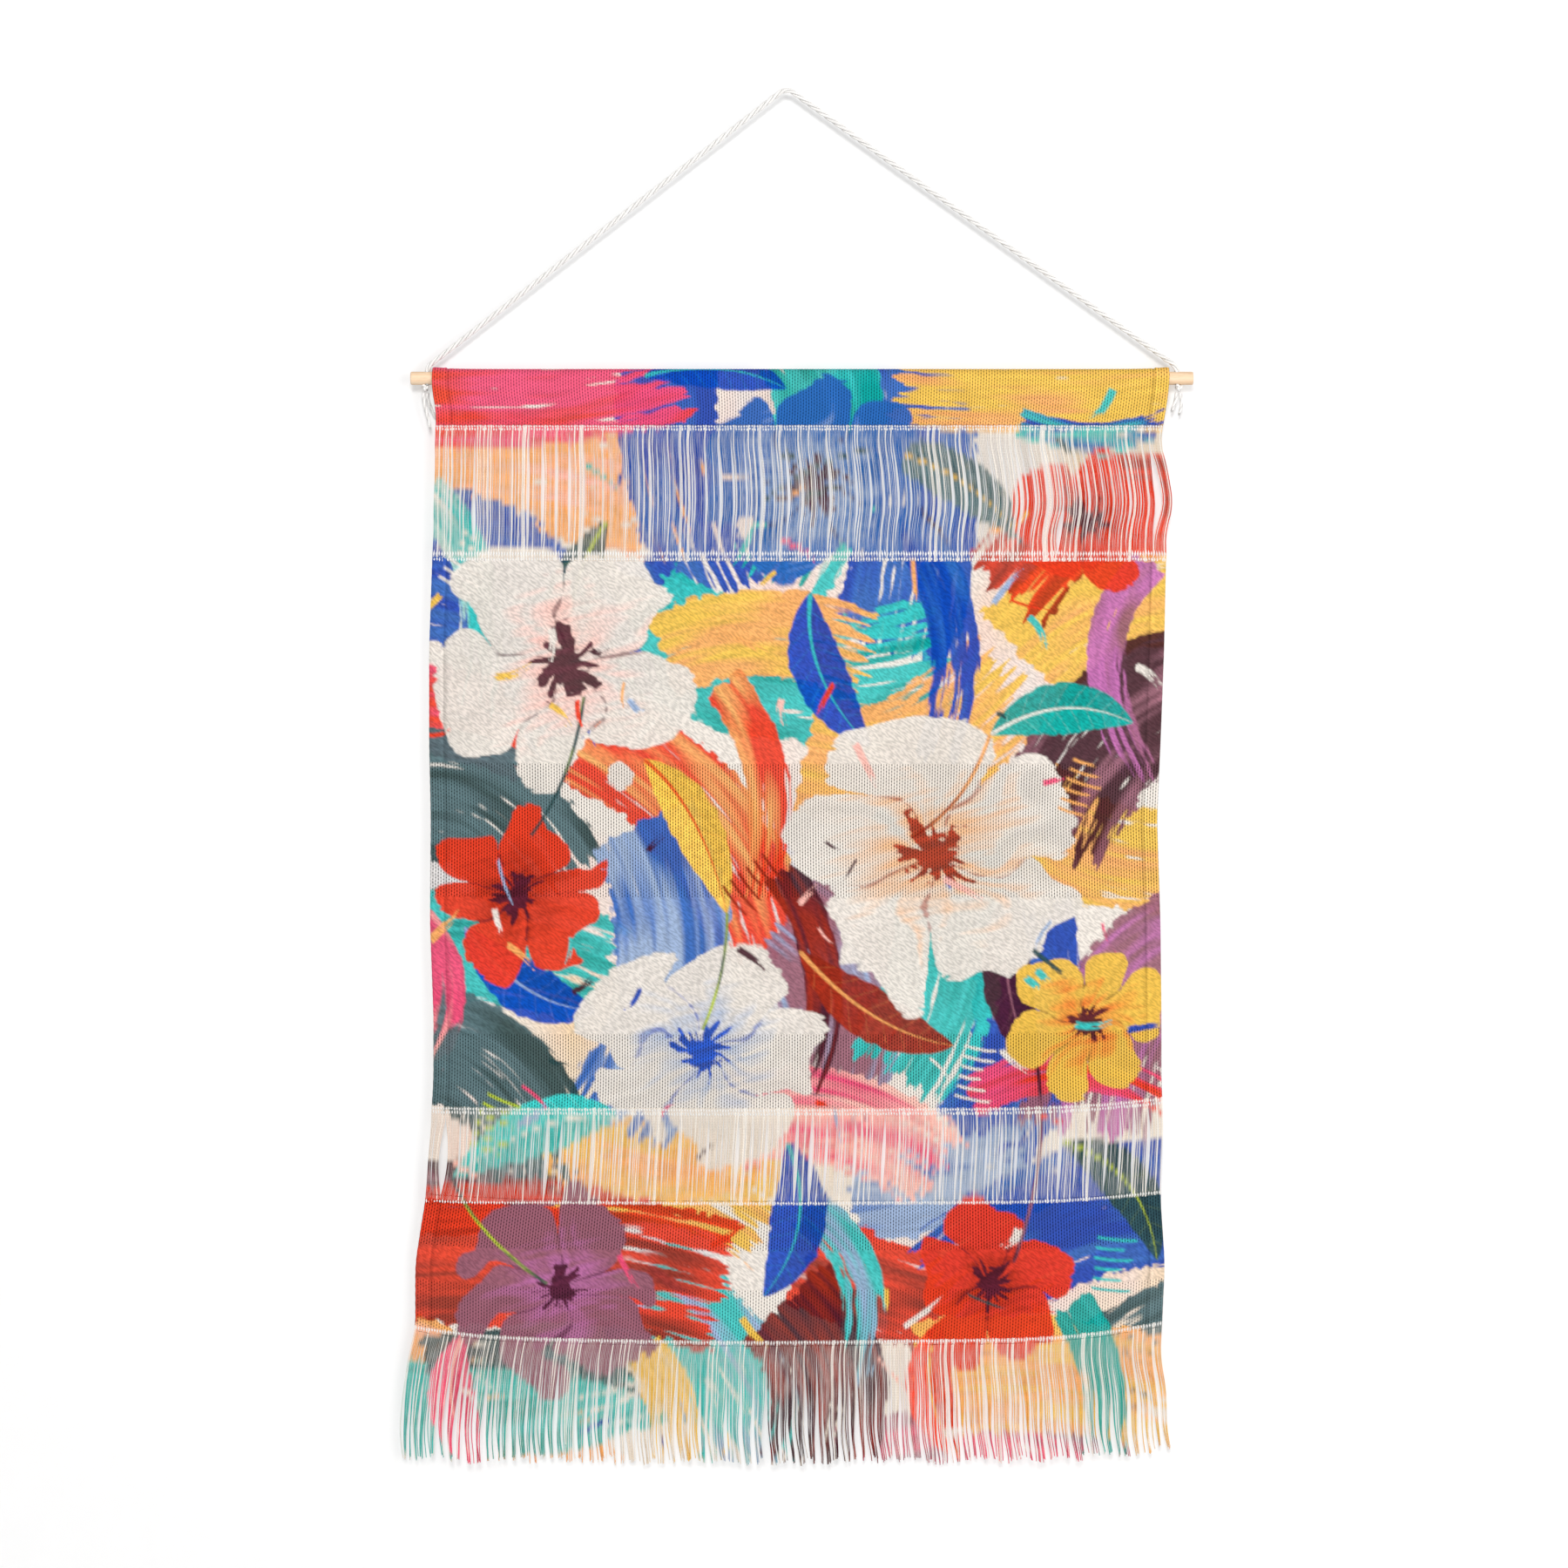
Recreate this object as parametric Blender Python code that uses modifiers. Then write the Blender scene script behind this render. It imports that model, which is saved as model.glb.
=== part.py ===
"""Woven textile wall hanging on a wooden dowel, with a twisted cotton hanging cord.

Metres, +Z up. The origin is the middle of the cord where it turns over the hook on the wall.
The cloth hangs in the XZ plane and faces -Y, so the wall is on the +Y side.
A drop is measured down from the origin. Across runs from the cloth's left edge (0) to its right edge (1).
"""

import math
from typing import Callable, NamedTuple

import bmesh
import bpy
import numpy as np
from mathutils import Vector

# Fit
GAP = 0.0003

# Dowel
DOWEL_RADIUS = 0.0055
DOWEL_LENGTH = 0.655
DOWEL_SHIFT = 0.0126
DOWEL_DROP = 0.2411
DOWEL_EDGE_ROUND = 0.0010
DOWEL_SIDES = 24
DRILL_SIDES = 12
CUTTER_LENGTH = 6 * DOWEL_RADIUS
HOLE_INSET = 0.0136

# Hanging cord of three plies
CORD_RADIUS = 0.0023
CORD_GROOVE_RADIUS = 0.0018
CORD_PLIES = 3
CORD_TURN_LENGTH = 0.0216
CORD_STEPS_PER_TURN = 6
HOLE_RADIUS = CORD_RADIUS + GAP

# Stopper knots and cut tails
KNOT_SIZE = Vector((0.0034, 0.0031, 0.0036))
KNOT_RIDGE = 0.08
KNOT_DROP = 0.0024
KNOT_SHIFT = 0.0015
KNOT_LOBES = 2
KNOT_TURN = 3
TAIL_RADIUS = 0.0015
TAIL_STEP = 3 * TAIL_RADIUS
ROUTE_SAMPLES = 24

# Cloth
CLOTH_THICKNESS = 0.0020
CREPE_SHARE = 0.8
LOCK_THICKNESS = 0.0016
HEM_WIDTH = 0.0125
SHEET_COLUMNS = 18
BAND_EDGE = 0.0015
EDGE_CURL = 0.0025
EDGE_CURL_WIDTH = 0.018

# Header, folded over the dowel
POCKET_SLACK = 0.0005
POCKET_RADIUS = DOWEL_RADIUS + CLOTH_THICKNESS / 2 + POCKET_SLACK
POCKET_ARC_STEPS = 8
POCKET_SIDE_STEPS = 3
POCKET_LAYER_GAP = 0.0004
POCKET_BACK_SHORTER = 0.004
EAR_RISE = 0.0015
EAR_WIDTH = 0.014

# Yarn locks of the open bands and the fringe
LOCK_SWAY = 0.0005
FRINGE_SWAY = 0.0011
FRINGE_TAPER = 0.62
FRINGE_UNEVEN = 0.0030
SLIT_SPREAD = 0.012
LOCK_BACK_PHASE = 7
FRINGE_LENGTH_PHASE = 3
FRINGE_BACK_PHASE = 11
GOLDEN_ANGLE = math.pi * (3 - math.sqrt(5))


class EdgeRow(NamedTuple):
    """Where the cloth's two side edges are at one drop."""

    drop: float
    left: float
    right: float


EDGES = (
    EdgeRow(0.2315, -0.2962, 0.3199),
    EdgeRow(0.2486, -0.2972, 0.3195),
    EdgeRow(0.2705, -0.2930, 0.3166),
    EdgeRow(0.2924, -0.2951, 0.3130),
    EdgeRow(0.3143, -0.2951, 0.3188),
    EdgeRow(0.3472, -0.2966, 0.3239),
    EdgeRow(0.3691, -0.2959, 0.3181),
    EdgeRow(0.4019, -0.2973, 0.3173),
    EdgeRow(0.4676, -0.2995, 0.3159),
    EdgeRow(0.5443, -0.2995, 0.3130),
    EdgeRow(0.6100, -0.2981, 0.3100),
    EdgeRow(0.6976, -0.2988, 0.3129),
    EdgeRow(0.7742, -0.2959, 0.3137),
    EdgeRow(0.8290, -0.2959, 0.3137),
    EdgeRow(0.8728, -0.2988, 0.3159),
    EdgeRow(0.9275, -0.3024, 0.3129),
    EdgeRow(0.9494, -0.3061, 0.3144),
    EdgeRow(0.9823, -0.3112, 0.3166),
    EdgeRow(1.0370, -0.3112, 0.3141),
    EdgeRow(1.0589, -0.3170, 0.3129),
    EdgeRow(1.0918, -0.3221, 0.3188),
    EdgeRow(1.1246, -0.3251, 0.3203),
    EdgeRow(1.1465, -0.3236, 0.3246),
)


class Line(NamedTuple):
    """A line of the weave from edge to edge, which may lift towards the sides."""

    drop: float
    lift_left: float = 0.0
    lift_right: float = 0.0

    def lowered(self, distance: float) -> "Line":
        """The same line further down."""
        return Line(self.drop + distance, self.lift_left, self.lift_right)


HEADER_SEAM = Line(0.2800)
UPPER_STRIP = Line(0.2851)
UPPER_BAND_END = Line(0.3851, 0.0040)
MAIN_TOP = Line(0.3946, 0.0040)
FIRST_RIB = Line(0.5640, 0.0020)
SECOND_CREPE = Line(0.6757, 0.0010)
SECOND_RIB = Line(0.7903, 0.0010, 0.0060)
MAIN_END = Line(0.8523, 0.0020, 0.0095)
LOWER_STRIP = Line(0.8589, 0.0020, 0.0095)
LOWER_BAND_END = Line(0.9282, 0.0060, 0.0090)
LOWER_PANEL_TOP = Line(0.9334, 0.0060, 0.0090)
THIRD_CREPE = Line(0.9713, 0.0060, 0.0100)
LAST_RIB = Line(1.0042, 0.0100, 0.0100)
LOWER_PANEL_END = Line(1.0465, 0.0125, 0.0160)
FRINGE_STRIP = Line(1.0523, 0.0125, 0.0160)
FRINGE_END = Line(1.1480, 0.0036, 0.0110)
LIFT_POWER = 4


class WovenBand(NamedTuple):
    """A stretch of one sheet: the line it starts at, its weave and its mesh steps."""

    start: Line
    ribbed: bool
    steps: int


MAIN_BANDS = (
    WovenBand(MAIN_TOP, False, 5),
    WovenBand(FIRST_RIB, True, 4),
    WovenBand(SECOND_CREPE, False, 4),
    WovenBand(SECOND_RIB, True, 2),
)
LOWER_BANDS = (
    WovenBand(LOWER_PANEL_TOP, True, 1),
    WovenBand(THIRD_CREPE, False, 1),
    WovenBand(LAST_RIB, True, 2),
)


class Fold(NamedTuple):
    """A soft ridge (depth below 0, towards the viewer) or trough that runs down the cloth."""

    centre: float
    half_width: float
    depth_at_hem: float


FOLDS = (
    Fold(-0.262, 0.040, -0.0042),
    Fold(-0.150, 0.060, 0.0036),
    Fold(-0.030, 0.070, -0.0030),
    Fold(0.110, 0.060, 0.0040),
    Fold(0.225, 0.050, -0.0045),
)


class Slit(NamedTuple):
    """A place where the yarns of an open band part: its middle, width and drops."""

    centre: float
    width: float
    top: float
    bottom: float


class LockBand(NamedTuple):
    """A row of yarn locks: how many, the share of the pitch that stays open, and their mesh steps."""

    count: int
    open_share: float
    steps: int


UPPER_LOCKS = LockBand(54, 0.14, 4)
UPPER_SLITS = (
    Slit(0.3125, 0.0120, 0.3020, 0.3730),
    Slit(-0.2619, 0.0026, 0.3370, 0.3800),
    Slit(0.2277, 0.0036, 0.3500, 0.3900),
)
LOWER_LOCKS = LockBand(50, 0.14, 2)
LOWER_SLITS = (Slit(-0.2885, 0.0060, 0.8640, 0.9260),)
FRINGE_LOCKS = LockBand(84, 0.20, 4)


class RoutePoint(NamedTuple):
    """A point of the cord's middle, in the plane of the dowel."""

    across: float
    up: float


HOLE_LEFT = DOWEL_SHIFT - DOWEL_LENGTH / 2 + HOLE_INSET
HOLE_RIGHT = DOWEL_SHIFT + DOWEL_LENGTH / 2 - HOLE_INSET
KNOT_LEFT = HOLE_LEFT - KNOT_SHIFT
KNOT_RIGHT = HOLE_RIGHT + KNOT_SHIFT
DOWEL_TOP = DOWEL_RADIUS - DOWEL_DROP
DOWEL_BOTTOM = -DOWEL_RADIUS - DOWEL_DROP

CORD_ROUTE = (
    RoutePoint(HOLE_LEFT, DOWEL_BOTTOM),
    RoutePoint(HOLE_LEFT, -DOWEL_DROP),
    RoutePoint(HOLE_LEFT, DOWEL_TOP - 0.0007),
    RoutePoint(HOLE_LEFT + 0.00042, DOWEL_TOP + 0.00206),
    RoutePoint(HOLE_LEFT + 0.00165, DOWEL_TOP + 0.00456),
    RoutePoint(HOLE_LEFT + 0.00356, DOWEL_TOP + 0.0066),
    RoutePoint(-0.2900, -0.2230),
    RoutePoint(-0.2500, -0.1919),
    RoutePoint(-0.1500, -0.1141),
    RoutePoint(-0.0500, -0.0364),
    RoutePoint(-0.0150, -0.0091),
    RoutePoint(-0.0058, -0.0020),
    RoutePoint(-0.0031, -0.0005),
    RoutePoint(0.0, 0.0),
    RoutePoint(0.0029, -0.0005),
    RoutePoint(0.0055, -0.0018),
    RoutePoint(0.0150, -0.0086),
    RoutePoint(0.0500, -0.0336),
    RoutePoint(0.1500, -0.1052),
    RoutePoint(0.2600, -0.1839),
    RoutePoint(0.3130, -0.2218),
    RoutePoint(HOLE_RIGHT - 0.00384, DOWEL_TOP + 0.00685),
    RoutePoint(HOLE_RIGHT - 0.00179, DOWEL_TOP + 0.00482),
    RoutePoint(HOLE_RIGHT - 0.00046, DOWEL_TOP + 0.00223),
    RoutePoint(HOLE_RIGHT, DOWEL_TOP - 0.0006),
    RoutePoint(HOLE_RIGHT, -DOWEL_DROP),
    RoutePoint(HOLE_RIGHT, DOWEL_BOTTOM),
)


class TailPoint(NamedTuple):
    """A point of a cut tail, from the middle of its knot."""

    across: float
    back: float
    down: float


TAILS = {
    "tail_left_outer": (
        TailPoint(-0.0014, 0.0004, 0.0044),
        TailPoint(-0.0012, 0.0006, 0.0110),
        TailPoint(0.0006, 0.0010, 0.0190),
        TailPoint(0.0026, 0.0014, 0.0270),
        TailPoint(0.0038, 0.0014, 0.0335),
    ),
    "tail_left_inner": (
        TailPoint(0.0018, 0.0006, 0.0044),
        TailPoint(0.0022, 0.0022, 0.0100),
        TailPoint(0.0050, 0.0052, 0.0180),
        TailPoint(0.0086, 0.0072, 0.0250),
        TailPoint(0.0122, 0.0078, 0.0300),
    ),
    "tail_right_outer": (
        TailPoint(0.0015, 0.0004, 0.0042),
        TailPoint(0.0022, 0.0006, 0.0090),
        TailPoint(0.0024, 0.0008, 0.0150),
        TailPoint(0.0006, 0.0010, 0.0215),
    ),
    "tail_right_inner": (
        TailPoint(-0.0017, 0.0004, 0.0042),
        TailPoint(-0.0022, 0.0006, 0.0090),
        TailPoint(-0.0036, 0.0008, 0.0140),
        TailPoint(-0.0056, 0.0010, 0.0190),
    ),
}


class Finish(NamedTuple):
    """Base colour, roughness and metallic value of one piece."""

    colour: tuple[float, float, float]
    roughness: float
    metallic: float = 0.0


WOOD = Finish((0.80, 0.62, 0.44), 0.55)
COTTON = Finish((0.88, 0.87, 0.84), 0.90)
HEADER_CLOTH = Finish((0.30, 0.16, 0.16), 0.90)
UPPER_YARN = Finish((0.62, 0.42, 0.38), 0.90)
MAIN_CLOTH = Finish((0.30, 0.34, 0.42), 0.90)
LOWER_YARN = Finish((0.26, 0.36, 0.48), 0.90)
LOWER_CLOTH = Finish((0.66, 0.26, 0.14), 0.90)
FRINGE_YARN = Finish((0.72, 0.50, 0.34), 0.90)


def clear_scene() -> None:
    """Remove every object of the scene."""
    for old in list(bpy.data.objects):
        bpy.data.objects.remove(old)


def new_collection(name: str) -> bpy.types.Collection:
    """A collection linked to the scene."""
    made = bpy.data.collections.new(name)
    bpy.context.scene.collection.children.link(made)
    return made


def new_material(name: str, finish: Finish) -> bpy.types.Material:
    """A Principled material with the piece's own colour."""
    made = bpy.data.materials.new(name)
    made.use_nodes = True
    shader = made.node_tree.nodes["Principled BSDF"]
    shader.inputs["Base Color"].default_value = (*finish.colour, 1.0)
    shader.inputs["Roughness"].default_value = finish.roughness
    shader.inputs["Metallic"].default_value = finish.metallic
    return made


def add_piece(name: str, data: bpy.types.ID, home: bpy.types.Collection, finish: Finish) -> bpy.types.Object:
    """An object with its own material in the collection of the parts."""
    piece = bpy.data.objects.new(name, data)
    data.materials.append(new_material(name, finish))
    home.objects.link(piece)
    return piece


def add_cutter(name: str, data: bpy.types.ID, home: bpy.types.Collection) -> bpy.types.Object:
    """A cutter or a guide, which is never rendered."""
    cutter = bpy.data.objects.new(name, data)
    cutter.hide_render = True
    cutter.display_type = "WIRE"
    home.objects.link(cutter)
    return cutter


def mesh_from(bm: bmesh.types.BMesh, name: str) -> bpy.types.Mesh:
    """The bmesh as mesh data, and the bmesh freed."""
    data = bpy.data.meshes.new(name)
    bm.to_mesh(data)
    bm.free()
    return data


def cylinder(name: str, radius: float, length: float, sides: int) -> bpy.types.Mesh:
    """A capped cylinder along Z, about its own middle."""
    bm = bmesh.new()
    bmesh.ops.create_cone(bm, cap_ends=True, segments=sides, radius1=radius, radius2=radius, depth=length)
    return mesh_from(bm, name)


def uneven(index: int) -> float:
    """A steady number from -1 to 1 for the index-th yarn, so that no two neighbours are alike."""
    return math.sin(GOLDEN_ANGLE * index * index)


def sheet_columns() -> list[float]:
    """Across values of the sheets' mesh columns, with a narrow one at each side hem."""
    width = EDGES[0].right - EDGES[0].left
    hem = HEM_WIDTH / width
    inner = np.linspace(hem, 1 - hem, SHEET_COLUMNS - 1)
    return [0.0, *(float(x) for x in inner), 1.0]


SHEET_ACROSS = sheet_columns()


def line_drop(line: Line, across: float) -> float:
    """The line's drop, straight between the sheets' columns so that neighbours fit edge to edge."""
    drops = []
    for column in SHEET_ACROSS:
        side = 2 * column - 1
        lift = line.lift_right if side > 0 else line.lift_left
        drops.append(line.drop - lift * abs(side) ** LIFT_POWER)
    return float(np.interp(across, SHEET_ACROSS, drops))


def edge_places(drop: float) -> tuple[float, float]:
    """The x of the cloth's left and right edge at a drop."""
    drops = [row.drop for row in EDGES]
    left = float(np.interp(drop, drops, [row.left for row in EDGES]))
    right = float(np.interp(drop, drops, [row.right for row in EDGES]))
    return left, right


def fold_depth(x: float, drop: float) -> float:
    """How far the hanging cloth lies in front of (below 0) or behind the dowel's plane."""
    left, right = edge_places(drop)
    hang = (drop - HEADER_SEAM.drop) / (FRINGE_END.drop - HEADER_SEAM.drop)
    hang = min(max(hang, 0.0), 1.0)
    depth = sum(fold.depth_at_hem * math.exp(-(((x - fold.centre) / fold.half_width) ** 2)) for fold in FOLDS)
    from_edge = min(x - left, right - x)
    curl = EDGE_CURL * math.exp(-max(from_edge, 0.0) / EDGE_CURL_WIDTH)
    return hang * (depth + curl)


def cloth_point(across: float, drop: float, shift: float = 0.0, back: float = 0.0) -> Vector:
    """The middle of the cloth's thickness at a place, moved sideways or back by a small distance."""
    left, right = edge_places(drop)
    x = left + across * (right - left) + shift
    return Vector((x, fold_depth(x, drop) + back, -drop))


def grid_sheet(columns: int, rows: int, place: Callable[[int, int], Vector]) -> bmesh.types.BMesh:
    """A grid of columns by rows of quads, with each vertex put in its place."""
    bm = bmesh.new()
    bmesh.ops.create_grid(bm, x_segments=columns, y_segments=rows, size=0.5)
    for vertex in bm.verts:
        column = round((vertex.co.x + 0.5) * columns)
        row = round((0.5 - vertex.co.y) * rows)
        vertex.co = place(column, row)
    return bm


def solidify(piece: bpy.types.Object, thickness: float, group: str = "", least: float = 0.0) -> None:
    """Give a sheet its thickness, equally to the front and the back."""
    modifier = piece.modifiers.new("Thickness", "SOLIDIFY")
    modifier.thickness = thickness
    modifier.offset = 0.0
    modifier.vertex_group = group
    modifier.thickness_vertex_group = least


def make_dowel(home: bpy.types.Collection, cutters: bpy.types.Collection) -> bpy.types.Object:
    """The rod, with softened ends and an upright cord hole near each end."""
    dowel = add_piece("dowel", cylinder("dowel", DOWEL_RADIUS, DOWEL_LENGTH, DOWEL_SIDES), home, WOOD)
    dowel.data.shade_smooth()
    dowel.location = (DOWEL_SHIFT, 0.0, -DOWEL_DROP)
    dowel.rotation_euler = (0.0, math.pi / 2, 0.0)
    bevel = dowel.modifiers.new("Rounded ends", "BEVEL")
    bevel.width = DOWEL_EDGE_ROUND
    bevel.segments = 2
    bevel.angle_limit = math.radians(60)
    outer = HOLE_RADIUS / math.cos(math.pi / DRILL_SIDES)
    for side, x in (("left", HOLE_LEFT), ("right", HOLE_RIGHT)):
        drill = add_cutter(
            f"drill_{side}", cylinder(f"drill_{side}", outer, CUTTER_LENGTH, DRILL_SIDES), cutters
        )
        drill.location = (x, 0.0, -DOWEL_DROP)
        cut = dowel.modifiers.new(f"Hole {side}", "BOOLEAN")
        cut.operation = "DIFFERENCE"
        cut.object = drill
    return dowel


def smooth_route(points: list[Vector], step: float) -> list[Vector]:
    """Points about a step apart on a smooth curve through the given points."""
    fine = []
    ends = [2 * points[0] - points[1], *points, 2 * points[-1] - points[-2]]
    for before, start, end, after in zip(ends, ends[1:], ends[2:], ends[3:]):
        knots = [0.0]
        for first, second in ((before, start), (start, end), (end, after)):
            knots.append(knots[-1] + math.sqrt((second - first).length))
        for share in np.linspace(0.0, 1.0, ROUTE_SAMPLES, endpoint=False):
            at = knots[1] + share * (knots[2] - knots[1])
            fine.append(catmull_rom((before, start, end, after), knots, at))
    fine.append(points[-1])
    line = np.array(fine)
    along = np.concatenate([[0.0], np.cumsum(np.linalg.norm(np.diff(line, axis=0), axis=1))])
    places = np.linspace(0.0, along[-1], max(2, round(along[-1] / step) + 1))
    return [Vector([float(np.interp(at, along, line[:, k])) for k in range(3)]) for at in places]


def catmull_rom(corners: tuple[Vector, ...], knots: list[float], at: float) -> Vector:
    """The point at one knot value of a centripetal curve through four corners."""
    level = list(corners)
    for reach in (1, 2):
        level = [
            level[i].lerp(level[i + 1], (at - knots[i]) / (knots[i + reach] - knots[i]))
            for i in range(len(level) - 1)
        ]
    return level[0].lerp(level[1], (at - knots[1]) / (knots[2] - knots[1]))


def make_tube(name: str, points: list[Vector], home: bpy.types.Collection, radius: float) -> bpy.types.Object:
    """A plain round tube along the points."""
    data = bpy.data.curves.new(name, "CURVE")
    data.dimensions = "3D"
    spline = data.splines.new("POLY")
    spline.points.add(len(points) - 1)
    for slot, point in zip(spline.points, points):
        slot.co = (*point, 1.0)
    data.bevel_depth = radius
    data.bevel_resolution = 2
    data.use_fill_caps = True
    return add_piece(name, data, home, COTTON)


def make_cord_profile(cutters: bpy.types.Collection) -> bpy.types.Object:
    """The cord's section: one lobe for each ply, with a groove between neighbours."""
    data = bpy.data.curves.new("cord_profile", "CURVE")
    spline = data.splines.new("POLY")
    corners = 2 * CORD_PLIES
    spline.points.add(corners - 1)
    for index, slot in enumerate(spline.points):
        angle = -2 * math.pi * index / corners
        radius = CORD_RADIUS if index % 2 == 0 else CORD_GROOVE_RADIUS
        slot.co = (radius * math.cos(angle), radius * math.sin(angle), 0.0, 1.0)
    spline.use_cyclic_u = True
    return add_cutter("cord_profile", data, cutters)


def make_hanger_cord(home: bpy.types.Collection, cutters: bpy.types.Collection) -> bpy.types.Object:
    """The twisted cord, from the left hole over the hook to the right hole."""
    route = [Vector((point.across, 0.0, point.up)) for point in CORD_ROUTE]
    points = smooth_route(route, CORD_TURN_LENGTH / CORD_STEPS_PER_TURN)
    cord = make_tube("hanger_cord", points, home, CORD_RADIUS)
    cord.data.bevel_mode = "OBJECT"
    cord.data.bevel_object = make_cord_profile(cutters)
    for index, slot in enumerate(cord.data.splines[0].points):
        slot.tilt = 2 * math.pi * index / CORD_STEPS_PER_TURN
    return cord


def make_knot(
    side: str, x: float, home: bpy.types.Collection, cutters: bpy.types.Collection
) -> bpy.types.Object:
    """A stopper knot of two crossed turns, seated under the dowel's hole."""
    name = f"knot_{side}"
    bm = bmesh.new()
    bmesh.ops.create_uvsphere(bm, u_segments=12, v_segments=8, radius=1.0)
    for vertex in bm.verts:
        turn = math.atan2(vertex.co.y, vertex.co.x)
        ridge = 1.0 + KNOT_RIDGE * math.sin(KNOT_LOBES * turn + KNOT_TURN * vertex.co.z)
        vertex.co = Vector(vertex.co[k] * KNOT_SIZE[k] * ridge for k in range(3))
    knot = add_piece(name, mesh_from(bm, name), home, COTTON)
    knot.location = (x, 0.0, DOWEL_BOTTOM - KNOT_DROP)
    seat = add_cutter(
        f"seat_{side}", cylinder(f"seat_{side}", DOWEL_RADIUS + GAP, CUTTER_LENGTH, DOWEL_SIDES), cutters
    )
    seat.location = (x, 0.0, -DOWEL_DROP)
    seat.rotation_euler = (0.0, math.pi / 2, 0.0)
    cut = knot.modifiers.new("Seat under the dowel", "BOOLEAN")
    cut.operation = "DIFFERENCE"
    cut.object = seat
    return knot


def make_tails(home: bpy.types.Collection) -> None:
    """The two plies of each cut tail, hanging from its knot."""
    for name, route in TAILS.items():
        x = KNOT_LEFT if "left" in name else KNOT_RIGHT
        top = DOWEL_BOTTOM - KNOT_DROP
        points = [Vector((x + point.across, point.back, top - point.down)) for point in route]
        make_tube(name, smooth_route(points, TAIL_STEP), home, TAIL_RADIUS)


def pocket_profile() -> list[tuple[float, float, float]]:
    """The header's section, as back, drop and ear share: up the front, over the dowel and down the back."""
    layer = (CLOTH_THICKNESS + POCKET_LAYER_GAP) / 2
    seam = HEADER_SEAM.drop
    profile = []
    for share in np.linspace(0.0, 1.0, POCKET_SIDE_STEPS, endpoint=False):
        eased = math.sin(share * math.pi / 2)
        back = -layer - (POCKET_RADIUS - layer) * eased
        profile.append((back, seam + (DOWEL_DROP - seam) * share, 0.0))
    for angle in np.linspace(0.0, math.pi, POCKET_ARC_STEPS + 1):
        back = -POCKET_RADIUS * math.cos(angle)
        profile.append((back, DOWEL_DROP - POCKET_RADIUS * math.sin(angle), math.sin(angle)))
    end = seam - POCKET_BACK_SHORTER
    for share in np.linspace(1.0, 0.0, POCKET_SIDE_STEPS + 1)[1:]:
        eased = math.sin(share * math.pi / 2)
        back = layer + (POCKET_RADIUS - layer) * eased
        profile.append((back, end + (DOWEL_DROP - end) * share, 0.0))
    return profile


def make_header(home: bpy.types.Collection) -> bpy.types.Object:
    """The end of the cloth, folded over the dowel with its two layers sewn together below."""
    profile = pocket_profile()

    def place(column: int, row: int) -> Vector:
        across = SHEET_ACROSS[column]
        back, drop, ear = profile[row]
        left, right = edge_places(drop)
        x = left + across * (right - left)
        rise = EAR_RISE * math.exp(-min(x - left, right - x) / EAR_WIDTH) * ear
        return Vector((x, back, rise - drop))

    bm = grid_sheet(len(SHEET_ACROSS) - 1, len(profile) - 1, place)
    header = add_piece("header_pocket", mesh_from(bm, "header_pocket"), home, HEADER_CLOTH)
    header.data.shade_smooth()
    solidify(header, CLOTH_THICKNESS)
    return header


def sheet_rows(bands: tuple[WovenBand, ...], end: Line) -> list[tuple[Line, Line, float, bool]]:
    """The rows of a sheet: the lines above and below, the share of the way down, and whether it is ribbed."""
    rows = []
    lines = [band.start for band in bands] + [end]
    for index, band in enumerate(bands):
        top = lines[index].lowered(BAND_EDGE if index else 0.0)
        bottom = lines[index + 1].lowered(-BAND_EDGE if index < len(bands) - 1 else 0.0)
        for share in np.linspace(0.0, 1.0, band.steps + 1):
            rows.append((top, bottom, float(share), band.ribbed))
    return rows


def make_panel(
    name: str, bands: tuple[WovenBand, ...], end: Line, home: bpy.types.Collection, finish: Finish
) -> bpy.types.Object:
    """A woven sheet whose rib bands and side hems are thicker than its crepe bands."""
    rows = sheet_rows(bands, end)
    last = len(SHEET_ACROSS) - 1

    def place(column: int, row: int) -> Vector:
        across = SHEET_ACROSS[column]
        top, bottom, share, _ = rows[row]
        high, low = line_drop(top, across), line_drop(bottom, across)
        return cloth_point(across, high + (low - high) * share)

    bm = grid_sheet(last, len(rows) - 1, place)
    panel = add_piece(name, mesh_from(bm, name), home, finish)
    panel.data.shade_smooth()
    thick = panel.vertex_groups.new(name="thick weave")
    for index in range(len(panel.data.vertices)):
        column = index % (last + 1)
        row = len(rows) - 1 - index // (last + 1)
        if rows[row][3] or column in (0, last):
            thick.add([index], 1.0, "REPLACE")
    solidify(panel, CLOTH_THICKNESS, thick.name, CREPE_SHARE)
    return panel


def lock_columns(band: LockBand) -> list[float]:
    """Across values of the left and right side of every lock, in order."""
    margin = band.open_share / 2
    columns = []
    for index in range(band.count):
        left, right = index + margin, index + 1 - margin
        columns += [left / band.count, right / band.count]
    columns[0], columns[-1] = 0.0, 1.0
    return columns


def slit_push(x: float, drop: float, slits: tuple[Slit, ...]) -> float:
    """How far the yarns beside a slit are pushed from its middle."""
    push = 0.0
    for slit in slits:
        share = (drop - slit.top) / (slit.bottom - slit.top)
        if 0.0 < share < 1.0:
            away = x - slit.centre
            open_half = slit.width / 2 * math.sin(math.pi * share)
            push += math.copysign(open_half * math.exp(-abs(away) / SLIT_SPREAD), away)
    return push


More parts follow.
